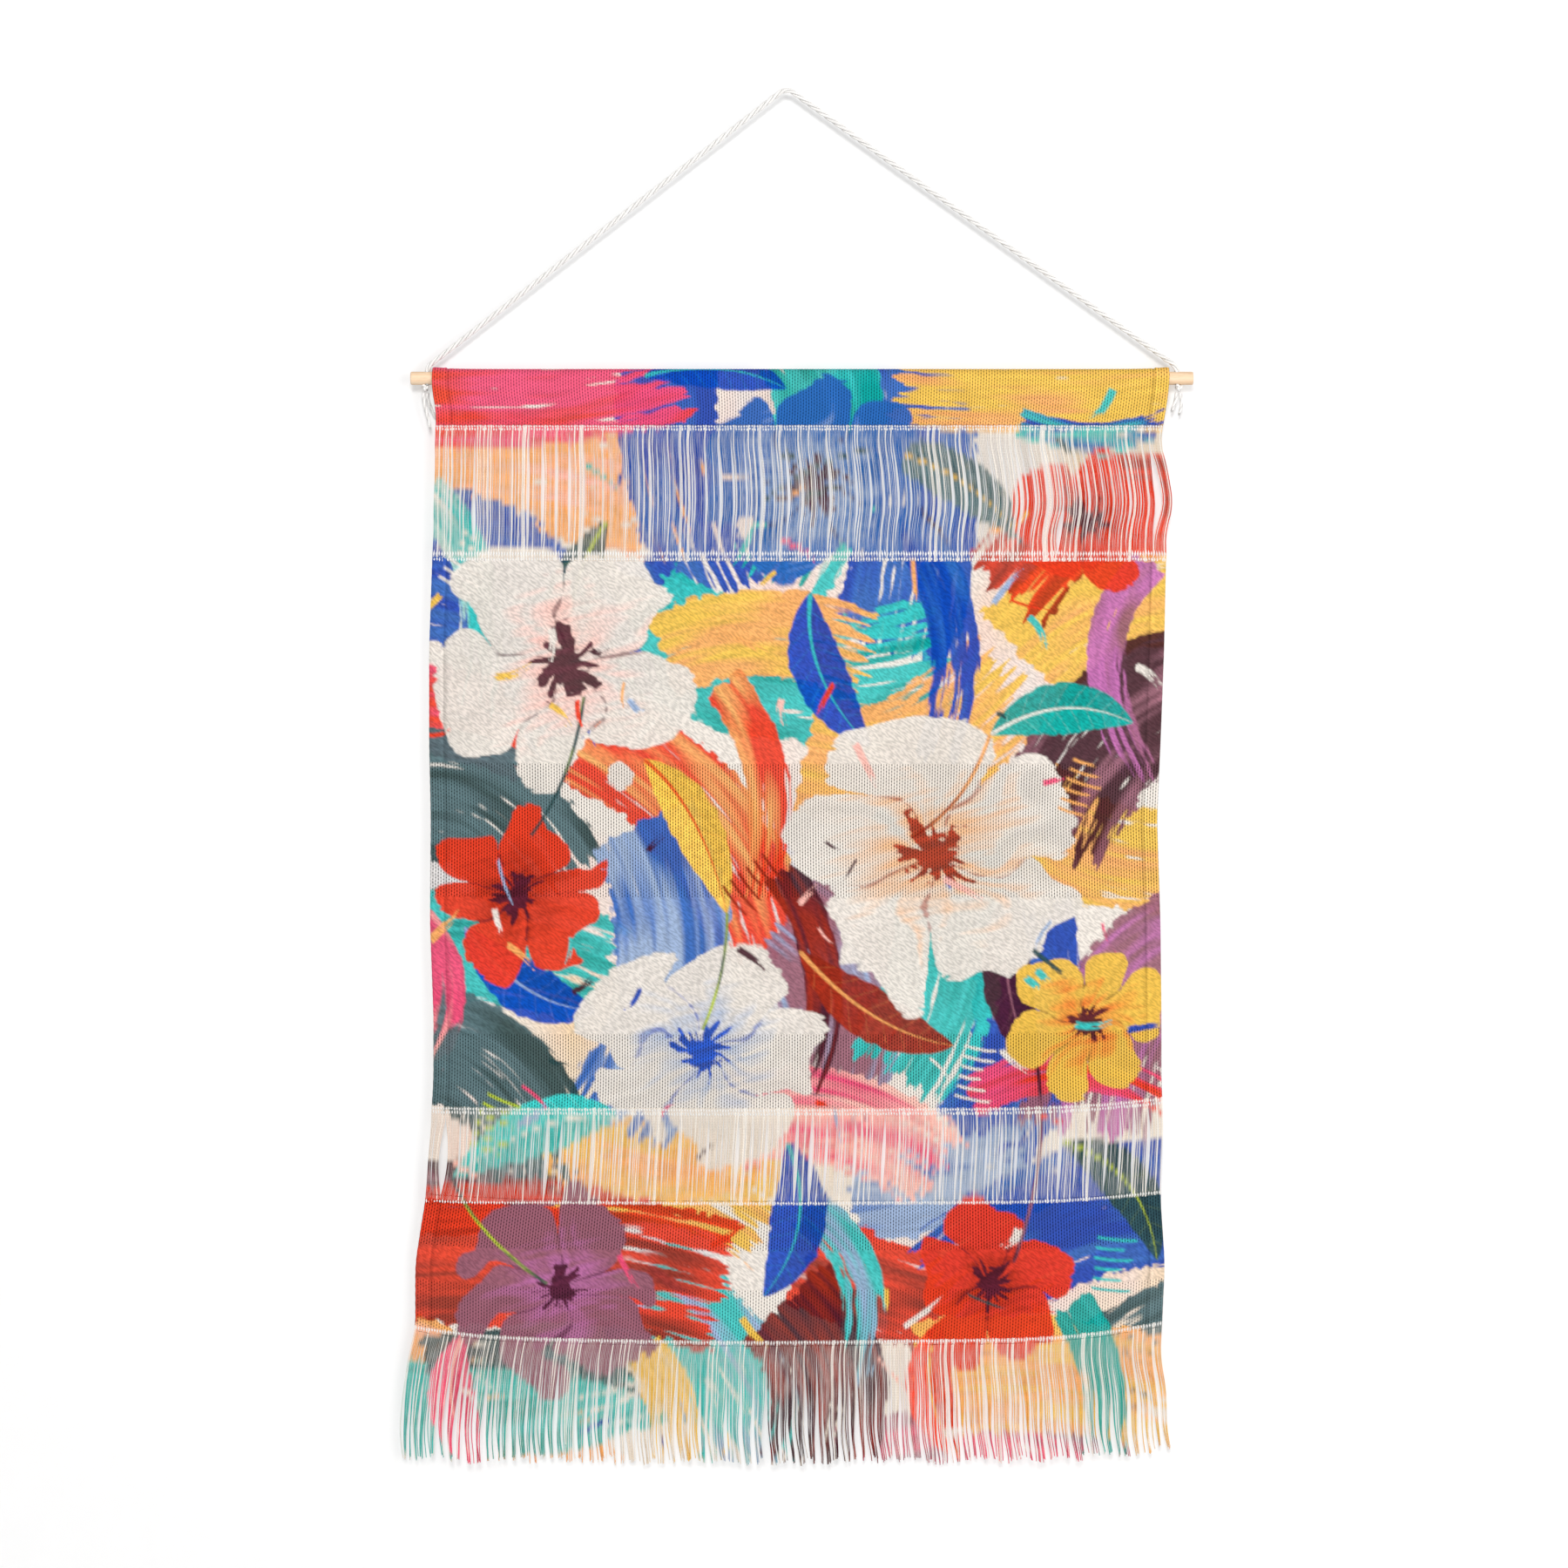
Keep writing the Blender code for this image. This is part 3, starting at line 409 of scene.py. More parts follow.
    def _ground(self) -> None:
        """Warms and cools the cream ground in broad faint washes."""
        everywhere = np.full(2, np.inf)
        view, x, drop = self._window(-everywhere, everywhere)
        for number, ink in enumerate((Ink.PALE_PINK, Ink.PERIWINKLE, Ink.MUSTARD)):
            wash = lattice_noise(x / 0.09, drop / 0.11, 500 + number)
            streak = lattice_noise(x / 0.012, drop / 0.05, 510 + number)
            self._lay(view, ink.light, (wash - 0.62) * 1.5 * (0.4 + 0.6 * streak))

    def _stroke(self, stroke: Stroke, number: int) -> None:
        """Paints one pull of the brush, wet at its start and dry at its end."""
        line = stroke.line()
        view, x, drop = self._window(line.min(0) - stroke.width * 0.62, line.max(0) + stroke.width * 0.62)
        along, side = self._along(x, drop, line)
        length = np.linalg.norm(np.diff(line, axis=0), axis=1).sum()
        reach = along * length
        share = np.abs(side) / (stroke.width / 2)
        hair = min(0.0040, max(0.0011, stroke.width / 9))
        bristle = lattice_noise(reach / (hair * 13), side / hair, number * 7 + 1)
        fine = lattice_noise(reach / (hair * 4), side / (hair * 0.45), number * 7 + 2)
        ragged = lattice_noise(reach / (hair * 1.1), np.sign(side) * 3.3 + side / 0.05, number * 7 + 3)
        swell = lattice_noise(reach / 0.034, np.sign(side) * 5.3, number * 7 + 5)
        edge = 1 - 0.10 * ragged - 0.08 * fine - 0.16 * swell
        start_edge = length * 0.02 * ragged + hair * 2 * bristle + reach
        end_edge = length + hair * (9 * bristle + 4 * fine) * (0.4 + stroke.dryness) - hair * 3 - reach
        body = np.clip((edge - share) * stroke.width / 2 / self.soft_side, 0, 1)
        body = body * np.clip(start_edge / self.soft_end, 0, 1) * np.clip(end_edge / self.soft_end, 0, 1)
        along = np.clip(along, 0, 1)
        wear = stroke.dryness * (0.25 + 0.95 * along**2 + 0.35 * share**3)
        dry = np.clip((0.62 * bristle + 0.38 * fine - wear) * 9 + 0.4, 0.04, 1)
        patch = lattice_noise(reach / 0.06 + 5, side / 0.016, number * 7 + 4)
        mix = np.clip((0.6 * patch + 0.4 * bristle - 0.45) * 3.2, 0, 1)[..., None]
        colour = stroke.ink.light * (1 - mix) + stroke.streak.light * mix
        colour = colour * (0.86 + 0.26 * fine)[..., None]
        self._lay(view, colour, body * dry * 0.96)

    def _leaf(self, leaf: Leaf, number: int) -> None:
        """Paints one leaf with its midrib and faint side veins."""
        line = Stroke(leaf.base, leaf.bend, leaf.tip, leaf.width, leaf.ink, leaf.rib).line()
        view, x, drop = self._window(line.min(0) - leaf.width, line.max(0) + leaf.width)
        along, side = self._along(x, drop, line)
        half = leaf.width / 2 * np.sin(math.pi * np.clip(along, 0, 1)) ** 0.75 - (np.abs(along - 0.5) > 0.5)
        ragged = lattice_noise(along * 24, np.sign(side) * 2.7, number * 5 + 1)
        fine = lattice_noise(along * 60, side / 0.0022, number * 5 + 2)
        body = np.clip((half * (1 - 0.14 * ragged) - np.abs(side)) / self.soft_end, 0, 1)
        shade = 0.72 + 0.42 * fine + 0.22 * (side > 0)
        self._lay(view, leaf.ink.light * shade[..., None], body * 0.96)
        vein = np.abs(np.sin((along * 9 - np.abs(side) / leaf.width * 2.2) * math.pi))
        veins = np.clip((0.16 - vein) / 0.10, 0, 1) * (0.3 + 0.5 * fine)
        rib = np.clip((0.0017 * (1.1 - along) + 0.0004 - np.abs(side)) / 0.0008, 0, 1)
        self._lay(view, leaf.rib.light, body * np.maximum(veins * 0.22, rib * 0.85))

    def _blossom(self, flower: Blossom, number: int) -> None:
        """Paints one round flower: petals, blush, outline and heart."""
        middle = np.array(flower.middle)
        view, x, drop = self._window(middle - flower.radius * 1.1, middle + flower.radius * 1.1)
        off_x = x - middle[0]
        off_drop = drop - middle[1]
        radius = np.hypot(off_x, off_drop) / flower.radius
        broad = lattice_noise(x / 0.034, drop / 0.034, number * 3 + 4)
        turn = np.arctan2(off_drop, off_x) + number + 0.9 * (broad - 0.5)
        lobe = np.abs(np.cos(flower.petals * turn / 2))
        rim = 0.50 + 0.44 * lobe**0.55 + 0.24 * (broad - 0.5)
        ragged = lattice_noise(x / 0.0050, drop / 0.0028, number * 3 + 1)
        streak = lattice_noise(turn * 6 + 40, radius * 1.7, number * 3 + 2)
        dry = lattice_noise(x / 0.014 + drop / 0.004, drop / 0.009, number * 3 + 5)
        body = np.clip((rim - 0.07 * ragged * dry - radius) / 0.015, 0, 1)
        self._lay(view, flower.ink.light * (0.88 + 0.15 * streak)[..., None], body * 0.97)
        blush = np.clip((0.50 - radius + 0.50 * (streak - 0.5) + 0.30 * (dry - 0.5)) * 2.4, 0, 1)
        self._lay(view, flower.blush.light, body * blush * 0.70)
        seam = np.clip((0.20 * dry - lobe) / 0.08, 0, 1) * (radius > 0.12)
        seam = seam * np.clip((0.62 - radius) * 5, 0, 1)
        self._lay(view, flower.heart.light, body * seam * 0.60)
        reach = 0.13 + 0.20 * np.clip(streak - 0.42, 0, 1) * 2 + 0.09 * (ragged - 0.5)
        heart = np.clip((reach - radius) / 0.02, 0, 1)
        self._lay(view, flower.heart.light * (0.7 + 0.9 * dry)[..., None], heart * 0.94)

    def _small_marks(self) -> None:
        """Adds rows of hatch dashes and scattered dry flicks."""
        number = self.first_dash
        for x, drop, turn, ink in HATCHES:
            toward = np.array((math.cos(turn), math.sin(turn)))
            across = np.array((-toward[1], toward[0]))
            for step in range(self.dashes):
                start = np.array((x, drop)) + across * self.dash_gap * step
                end = start + toward * (self.dash_length + 0.008 * float(uneven(number)))
                middle = (start + end) / 2 + across * 0.0015
                dash = Stroke(tuple(start), tuple(middle), tuple(end), self.dash_width, ink, ink, 0.22)
                self._stroke(dash, number)
                number += 1
        random = np.random.default_rng(self.seed)
        inks = (Ink.CREAM, Ink.COBALT, Ink.RED_ORANGE, Ink.TURQUOISE, Ink.MUSTARD, Ink.PLUM, Ink.PERIWINKLE,
                Ink.PALE_PINK, Ink.PEACH, Ink.SLATE_DARK, Ink.CREAM, Ink.PINK)
        for index in range(self.flicks):
            start = np.array((random.uniform(-0.31, 0.31), random.uniform(0.24, 1.13)))
            turn = random.uniform(-0.9, 0.9) + (math.pi / 2 if random.random() < 0.45 else 0)
            reach = random.uniform(0.010, 0.036)
            end = start + reach * np.array((math.cos(turn), math.sin(turn)))
            middle = (start + end) / 2 + random.uniform(-0.004, 0.004, 2)
            width = random.uniform(0.003, 0.010)
            ink = inks[index % len(inks)]
            flick = Stroke(tuple(start), tuple(middle), tuple(end), width, ink, ink, 0.55)
            self._stroke(flick, self.first_flick + index)


@dataclass(frozen=True)
class Line:
    """A line across the cloth: its drop below the hang point, and how much higher its two ends sit."""

    drop: float
    left: float = 0.0
    right: float = 0.0


HEADER_SEAM = Line(0.2800)
UPPER_STRIP = Line(0.2851)
UPPER_BAND_END = Line(0.3851, 0.0040)
MAIN_TOP = Line(0.3946, 0.0040)
FIRST_RIB = Line(0.5640, 0.0020)
SECOND_CREPE = Line(0.6757, 0.0010)
SECOND_RIB = Line(0.7903, 0.0010, 0.0060)
MAIN_END = Line(0.8523, 0.0020, 0.0095)
LOWER_STRIP = Line(0.8589, 0.0020, 0.0095)
LOWER_BAND_END = Line(0.9282, 0.0060, 0.0090)
LOWER_PANEL_TOP = Line(0.9334, 0.0060, 0.0090)
THIRD_CREPE = Line(0.9713, 0.0060, 0.0100)
LAST_RIB = Line(1.0042, 0.0100, 0.0100)
LOWER_PANEL_END = Line(1.0465, 0.0125, 0.0160)
FRINGE_STRIP = Line(1.0523, 0.0125, 0.0160)
FRINGE_END = Line(1.1480, 0.0036, 0.0110)
OPEN_TOPS = (MAIN_TOP, LOWER_PANEL_TOP)
OPEN_ENDS = (MAIN_END, LOWER_PANEL_END)


@dataclass
class ClothForm:
    """The hung shape of the cloth: its side edges, its hanging folds and its creases."""

    edges: tuple[tuple[float, float, float], ...] = (
        (0.2315, -0.2962, 0.3199), (0.2486, -0.2972, 0.3195), (0.2705, -0.2930, 0.3166),
        (0.2924, -0.2951, 0.3130), (0.3143, -0.2951, 0.3188), (0.3472, -0.2966, 0.3239),
        (0.3691, -0.2959, 0.3181), (0.4019, -0.2973, 0.3173), (0.4676, -0.2995, 0.3159),
        (0.5443, -0.2995, 0.3130), (0.6100, -0.2981, 0.3100), (0.6976, -0.2988, 0.3129),
        (0.7742, -0.2959, 0.3137), (0.8290, -0.2959, 0.3137), (0.8728, -0.2988, 0.3159),
        (0.9275, -0.3024, 0.3129), (0.9494, -0.3061, 0.3144), (0.9823, -0.3112, 0.3166),
        (1.0370, -0.3112, 0.3141), (1.0589, -0.3170, 0.3129), (1.0918, -0.3221, 0.3188),
        (1.1246, -0.3251, 0.3203), (1.1465, -0.3236, 0.3246),
    )
    folds: tuple[tuple[float, float, float], ...] = (
        (-0.262, 0.040, -0.0042), (-0.150, 0.060, 0.0036), (-0.030, 0.070, -0.0030),
        (0.110, 0.060, 0.0040), (0.225, 0.050, -0.0045),
    )
    creases: tuple[tuple[float, float, float, float, float, float], ...] = (
        (-0.285, 0.405, -0.255, 0.455, 0.006, -0.00045), (-0.290, 0.440, -0.262, 0.490, 0.005, 0.00040),
        (-0.288, 0.560, -0.268, 0.600, 0.006, -0.00035), (0.300, 0.420, 0.262, 0.470, 0.006, -0.00040),
        (0.305, 0.520, 0.272, 0.560, 0.006, 0.00035), (0.300, 0.700, 0.258, 0.735, 0.007, -0.00040),
        (-0.286, 0.735, -0.250, 0.785, 0.006, -0.00040), (-0.120, 0.835, 0.020, 0.846, 0.006, 0.00030),
        (0.120, 0.396, 0.200, 0.410, 0.007, -0.00030), (-0.060, 0.660, 0.060, 0.672, 0.008, 0.00025),
    )
    hem: float = 0.0125
    curl: float = 0.0025
    curl_width: float = 0.018
    ease: float = 0.008
    solid_columns: int = 17
    pucker: float = 0.00060
    pucker_length: float = 0.0074
    pucker_slant: float = 0.6

    def __post_init__(self) -> None:
        """Keeps the edges as arrays and places the columns of the solids."""
        self._drops, self._lefts, self._rights = np.array(self.edges).T
        share = self.hem / (self._rights[0] - self._lefts[0])
        self._columns = np.array([0.0, *np.linspace(share, 1 - share, self.solid_columns), 1.0])

    def _edge(self, drop: np.ndarray, side: np.ndarray) -> np.ndarray:
        """Returns x of one side edge at each drop, with its corners eased."""
        steps = (-self.ease, 0.0, self.ease)
        return sum(np.interp(drop + step, self._drops, side) for step in steps) / len(steps)

    def left(self, drop: np.ndarray) -> np.ndarray:
        """Returns x of the left edge at each drop."""
        return self._edge(drop, self._lefts)

    def right(self, drop: np.ndarray) -> np.ndarray:
        """Returns x of the right edge at each drop."""
        return self._edge(drop, self._rights)

    def depth(self, x: np.ndarray, drop: np.ndarray) -> np.ndarray:
        """Returns y of the middle of the cloth; less is nearer the viewer."""
        hang = np.clip((drop - HEADER_SEAM.drop) / (FRINGE_END.drop - HEADER_SEAM.drop), 0, 1)
        from_edge = np.minimum(x - self.left(drop), self.right(drop) - x)
        swell = sum(deep * np.exp(-(((x - middle) / wide) ** 2)) for middle, wide, deep in self.folds)
        return hang * (swell + self.curl * np.exp(-np.maximum(from_edge, 0) / self.curl_width))

    def line(self, line: Line, across: np.ndarray) -> np.ndarray:
        """Returns the drop of a line at each share of the cloth's width."""
        side = 2 * self._columns - 1
        lift = np.where(side > 0, line.right, line.left)
        return np.interp(across, self._columns, line.drop - lift * np.abs(side) ** 4)

    def place(self, across: np.ndarray, drop: np.ndarray, shift: float | np.ndarray = 0.0,
              back: float | np.ndarray = 0.0) -> np.ndarray:
        """Puts a place of the cloth into space.

        Args:
            across: Share of the width, from the left edge.
            drop: Distance below the hang point.
            shift: Distance that the place is pulled to the right.
            back: Distance that it is pushed away from the viewer.

        Returns:
            Points, with x, y and z last.
        """
        x = self.left(drop) + across * (self.right(drop) - self.left(drop)) + shift
        return np.stack((x, self.depth(x, drop) + back, -drop + 0 * x), axis=-1)

    def crease_height(self, x: np.ndarray, drop: np.ndarray) -> np.ndarray:
        """Returns how far the placed creases and the hem puckers lift the front face."""
        height = np.zeros_like(x)
        for x0, drop0, x1, drop1, wide, tall in self.creases:
            step = np.array((x1 - x0, drop1 - drop0))
            share = ((x - x0) * step[0] + (drop - drop0) * step[1]) / (step @ step)
            share = np.clip(share, 0, 1)
            away = np.hypot(x - x0 - share * step[0], drop - drop0 - share * step[1])
            height += tall * np.sin(math.pi * np.clip(share, 0.05, 0.95)) * np.exp(-((away / wide) ** 2))
        from_left = x - self.left(drop)
        from_right = self.right(drop) - x
        near = np.exp(-from_left / 0.022) + 0.6 * np.exp(-from_right / 0.018)
        slant = drop - self.pucker_slant * np.minimum(from_left, from_right)
        patchy = lattice_noise(drop / 0.05, np.where(from_left < from_right, 1.5, 7.5), 41)
        return height + self.pucker * near * patchy * np.sin(2 * math.pi * slant / self.pucker_length)


@dataclass
class MeshParts:
    """Points and faces of a mesh that is being put together."""

    points: list[np.ndarray] = field(default_factory=list)
    inks: list[np.ndarray] = field(default_factory=list)
    faces: list[np.ndarray] = field(default_factory=list)
    weave: list[np.ndarray] = field(default_factory=list)
    bake: list[np.ndarray] = field(default_factory=list)
    crisp: list[bool] = field(default_factory=list)
    count: int = 0

    def add_points(self, points: np.ndarray, inks: np.ndarray) -> int:
        """Adds points and their colours, and returns the number of the first one."""
        first = self.count
        flat = points.reshape(-1, 3)
        self.points.append(flat)
        self.inks.append(np.broadcast_to(inks, points.shape).reshape(-1, 3))
        self.count += len(flat)
        return first

    def add_faces(self, faces: np.ndarray, weave: np.ndarray, bake: np.ndarray, crisp: bool = False) -> None:
        """Adds faces of one corner count, with both flat places of each corner; crisp ones get hard edges."""
        self.faces.append(faces)
        self.weave.append(weave)
        self.bake.append(bake)
        self.crisp.append(crisp)

    def make(self, name: str, material: bpy.types.Material, smooth: bool = True) -> bpy.types.Object:
        """Makes the object.

        Args:
            name: Name of the piece.
            material: Its finish.
            smooth: Whether its faces are shaded as one surface.

        Returns:
            The new object, linked to the scene.
        """
        mesh = bpy.data.meshes.new(name)
        points = np.concatenate(self.points).astype(np.float32)
        mesh.vertices.add(len(points))
        mesh.vertices.foreach_set("co", points.ravel())
        corners = np.concatenate([faces.ravel() for faces in self.faces]).astype(np.int32)
        sizes = np.concatenate([np.full(len(faces), faces.shape[1]) for faces in self.faces])
        mesh.loops.add(len(corners))
        mesh.loops.foreach_set("vertex_index", corners)
        mesh.polygons.add(len(sizes))
        starts = np.concatenate(([0], np.cumsum(sizes)[:-1])).astype(np.int32)
        mesh.polygons.foreach_set("loop_start", starts)
        mesh.polygons.foreach_set("use_smooth", np.full(len(sizes), smooth))
        for title, maps in (("weave", self.weave), ("OFBake", self.bake)):
            layer = mesh.uv_layers.new(name=title, do_init=False)
            flat = np.concatenate([one.reshape(-1, 2) for one in maps]).astype(np.float32)
            layer.data.foreach_set("uv", flat.ravel())
        mesh.update(calc_edges=True)
        crisp = np.concatenate([np.full(faces.size, one) for faces, one in zip(self.faces, self.crisp)])
        edges = np.empty(len(corners), np.int32)
        mesh.loops.foreach_get("edge_index", edges)
        hard = np.zeros(len(mesh.edges), bool)
        hard[edges[crisp]] = True
        mesh.attributes.new("sharp_edge", "BOOLEAN", "EDGE").data.foreach_set("value", hard)
        inks = mesh.attributes.new("print", "FLOAT_COLOR", "POINT")
        colours = np.ones((len(points), 4), np.float32)
        colours[:, :3] = np.concatenate(self.inks)
        inks.data.foreach_set("color", colours.ravel())
        mesh.materials.append(material)
        made = bpy.data.objects.new(name, mesh)
        bpy.context.scene.collection.objects.link(made)
        return made


def quads_of(rows: int, columns: int) -> np.ndarray:
    """Returns the quads of a grid that has one more point than that each way."""
    row, column = np.meshgrid(np.arange(rows), np.arange(columns), indexing="ij")
    first = (row * (columns + 1) + column).ravel()
    return np.stack((first, first + columns + 1, first + columns + 2, first + 1), axis=1)


def places_of(rows: int, columns: int) -> np.ndarray:
    """Returns the column and row of each point of that grid."""
    row, column = np.meshgrid(np.arange(rows + 1.0), np.arange(columns + 1.0), indexing="ij")
    return np.stack((column, row), axis=-1).reshape(-1, 2)


def sheet_parts(middle: np.ndarray, front_lift: np.ndarray, back_lift: float, front_inks: np.ndarray,
                back_inks: np.ndarray) -> MeshParts:
    """Makes a closed sheet: a fine front, a plain back and a rim that joins them.

    Args:
        middle: Grid of points in the middle of the cloth's thickness.
        front_lift: Distance from the middle to the front face, for each point.
        back_lift: Distance from the middle to the back face.
        front_inks: Colour of each point of the front.
        back_inks: Colour of each point of the same grid on the back.

    Returns:
        The parts of the mesh.
    """
    rows, columns = middle.shape[0] - 1, middle.shape[1] - 1
    outward = unit(np.cross(np.gradient(middle, axis=0), np.gradient(middle, axis=1)))
    parts = MeshParts()
    parts.add_points(middle + outward * front_lift[..., None], front_inks)
    back = (middle - outward * back_lift)[::BACK_STEP, ::BACK_STEP]
    first_back = parts.add_points(back, back_inks[::BACK_STEP, ::BACK_STEP])
    coarse_rows, coarse_columns = rows // BACK_STEP, columns // BACK_STEP
    front = quads_of(rows, columns)
    place = places_of(rows, columns)[front]
    share = place / (columns, rows)
    parts.add_faces(front, place / 2, share * (MAP_WIDTH, FRONT_HEIGHT) + MAP_EDGE)
    coarse = quads_of(coarse_rows, coarse_columns)[:, ::-1]
    place = places_of(coarse_rows, coarse_columns)[coarse] * BACK_STEP
    share = place / (columns, rows)
    parts.add_faces(coarse + first_back, place / 2, share * (MAP_WIDTH, BACK_HEIGHT) + (MAP_EDGE, BACK_TOP))
    loop = [(step, 0) for step in range(rows)]
    loop += [(rows, step) for step in range(columns)]
    loop += [(step, columns) for step in range(rows, 0, -1)]
    loop += [(0, step) for step in range(columns, 0, -1)]
    around = np.array(loop)
    edge = around[:, 0] * (columns + 1) + around[:, 1]
    corners = around[::BACK_STEP]
    inner = first_back + corners[:, 0] // BACK_STEP * (coarse_columns + 1) + corners[:, 1] // BACK_STEP
    start = np.arange(len(corners)) * BACK_STEP
    picks = [edge[(start + step) % len(edge)] for step in range(BACK_STEP, -1, -1)]
    rim = np.stack((*picks, inner, np.roll(inner, -1)), axis=1)
    weave = np.zeros((*rim.shape, 2))
    steps = (*range(BACK_STEP, -1, -1), 0, BACK_STEP)
    far = np.stack([(start + step) / len(edge) for step in steps], axis=1)
    high = np.broadcast_to(np.array((RIM_TOP,) * (BACK_STEP + 1) + (RIM_LOW,) * 2), far.shape)
    weave[..., 0] = far * len(edge) / 2
    parts.add_faces(rim, weave, np.stack((MAP_EDGE + MAP_WIDTH * far, high), axis=-1), crisp=True)
    return parts


def tube_parts(paths: np.ndarray, radii: np.ndarray | float, sides: int, inks: np.ndarray, per_row: int = 1,
               twist: float = 0.002, turn: float = math.pi / 2) -> MeshParts:
    """Makes many tubes of one ring count as one mesh.

    Args:
        paths: Centre points, by tube and ring.
        radii: Radius of each tube, ring and side, or what spreads to that.
        sides: Sides of each tube.
        inks: Colour of each ring, or what spreads to that.
        per_row: Tubes side by side on the baked map.
        twist: Length of cord that the weave map counts as one.
        turn: Angle of the first side.

    Returns:
        The parts of the mesh.
    """
    tubes, rings = paths.shape[:2]
    tangent = unit(np.gradient(paths, axis=1))
    first = np.empty_like(paths)
    guess = np.cross(tangent[:, 0], (0.0, 1.0, 0.0))
    flat = np.linalg.norm(guess, axis=1) < 0.2
    guess[flat] = np.cross(tangent[flat, 0], (1.0, 0.0, 0.0))
    first[:, 0] = unit(guess)
    for ring in range(1, rings):
        along = np.sum(first[:, ring - 1] * tangent[:, ring], axis=1, keepdims=True)
        first[:, ring] = unit(first[:, ring - 1] - along * tangent[:, ring])
    second = np.cross(tangent, first)
    cap_angle = np.arange(sides) * 2 * math.pi / sides
    angle = (cap_angle + turn)[:, None]
    spread = np.broadcast_to(radii, (tubes, rings, sides))[..., None]
    ring_points = spread * (np.cos(angle) * first[:, :, None] + np.sin(angle) * second[:, :, None])
    points = paths[:, :, None] + ring_points
    parts = MeshParts()
    parts.add_points(points, np.broadcast_to(inks, paths.shape)[:, :, None, :])
    grid = np.meshgrid(np.arange(tubes), np.arange(rings - 1), np.arange(sides), indexing="ij")
    tube, ring, side = (one.ravel() for one in grid)
    lengths = reach_along(paths)
    rows = math.ceil(tubes / per_row)
    faces, weave, bake = [], [], []
    for ring_step, side_step in ((0, 0), (0, 1), (1, 1), (1, 0)):
        number = (tube * rings + ring + ring_step) * sides + (side + side_step) % sides
        across = (side + side_step) / sides
        faces.append(number)
        weave.append(np.stack((tube + across, lengths[tube, ring + ring_step] / twist), axis=-1))
        u = (tube % per_row + 0.03 + 0.90 * across) / per_row
        v = (tube // per_row + 0.02 + 0.96 * (ring + ring_step) / (rings - 1)) / rows
        bake.append(np.stack((u, v), axis=-1))
    parts.add_faces(np.stack(faces, 1), np.stack(weave, 1), np.stack(bake, 1))
    index = np.arange(tubes)[:, None]
    cap_size = 0.012
    for ring_number, order in ((0, -1), (rings - 1, 1)):
        cap = (index * rings + ring_number) * sides + np.arange(sides)[None, ::order]
        share = ring_number / (rings - 1)
        u = (index % per_row + 0.965 + cap_size * np.cos(cap_angle)[None, ::order]) / per_row
        v = (index // per_row + 0.04 + 0.92 * share + cap_size * np.sin(cap_angle)[None, ::order]) / rows
        flat_map = np.stack((u, v), axis=-1)
        parts.add_faces(cap, flat_map + index[..., None], flat_map, crisp=True)
    return parts


class Net:
    """Makes and joins the nodes of one tree."""

    def __init__(self, tree: bpy.types.NodeTree) -> None:
        """Starts on an empty tree."""
        self.tree = tree
        tree.nodes.clear()

    def node(self, kind: str, **settings: object) -> bpy.types.Node:
        """Adds a node of that kind and returns it with its settings."""
        made = self.tree.nodes.new(kind)
        for name, value in settings.items():
            setattr(made, name, value)
        return made

    def feed(self, socket: bpy.types.NodeSocket, value: object) -> None:
        """Links a socket into this one, or sets a plain value on it."""
        if isinstance(value, bpy.types.NodeSocket):
            self.tree.links.new(value, socket)
        else:
            socket.default_value = value

    def math(self, operation: str, *values: object) -> bpy.types.NodeSocket:
        """Adds a Math node and returns its result."""
        made = self.node("ShaderNodeMath", operation=operation)
        for socket, value in zip(made.inputs, values):
            self.feed(socket, value)
        return made.outputs[0]

    def plus(self, first: object, second: object) -> bpy.types.NodeSocket:
        """Returns the sum of two numbers."""
        return self.math("ADD", first, second)

    def minus(self, first: object, second: object) -> bpy.types.NodeSocket:
        """Returns the first number less the second."""
        return self.math("SUBTRACT", first, second)

    def times(self, first: object, second: object) -> bpy.types.NodeSocket:
        """Returns the product of two numbers."""
        return self.math("MULTIPLY", first, second)

    def stretched(self, vector: object, scales: Point3) -> bpy.types.NodeSocket:
        """Returns a vector with each of its parts scaled."""
        made = self.node("ShaderNodeVectorMath", operation="MULTIPLY")
        self.feed(made.inputs[0], vector)
        self.feed(made.inputs[1], scales)
        return made.outputs[0]

    def scaled(self, vector: object, scale: object) -> bpy.types.NodeSocket:
        """Returns a vector or colour times a number."""
        made = self.node("ShaderNodeVectorMath", operation="SCALE")
        self.feed(made.inputs[0], vector)
        self.feed(made.inputs["Scale"], scale)
        return made.outputs[0]

    def noise(self, place: object, scale: float, detail: float = 2.0,
              rough: float = 0.5) -> bpy.types.NodeSocket:
        """Adds a noise texture and returns its value."""
        made = self.node("ShaderNodeTexNoise")
        self.feed(made.inputs["Vector"], place)
        made.inputs["Scale"].default_value = scale
        made.inputs["Detail"].default_value = detail
        made.inputs["Roughness"].default_value = rough
        return made.outputs[0]

    def range(self, value: object, *ends: float) -> bpy.types.NodeSocket:
        """Maps a value from the range of the first two ends to that of the last two, held at its ends."""
        made = self.node("ShaderNodeMapRange", clamp=True)
        for socket, given in zip(made.inputs, (value, *ends)):
            self.feed(socket, given)
        return made.outputs[0]

    def mix(self, share: object, first: object, second: object) -> bpy.types.NodeSocket:
        """Mixes two colours and returns the result."""
        made = self.node("ShaderNodeMix", data_type="RGBA")
        self.feed(made.inputs[0], share)
        self.feed(made.inputs[6], first)
        self.feed(made.inputs[7], second)
        return made.outputs[2]


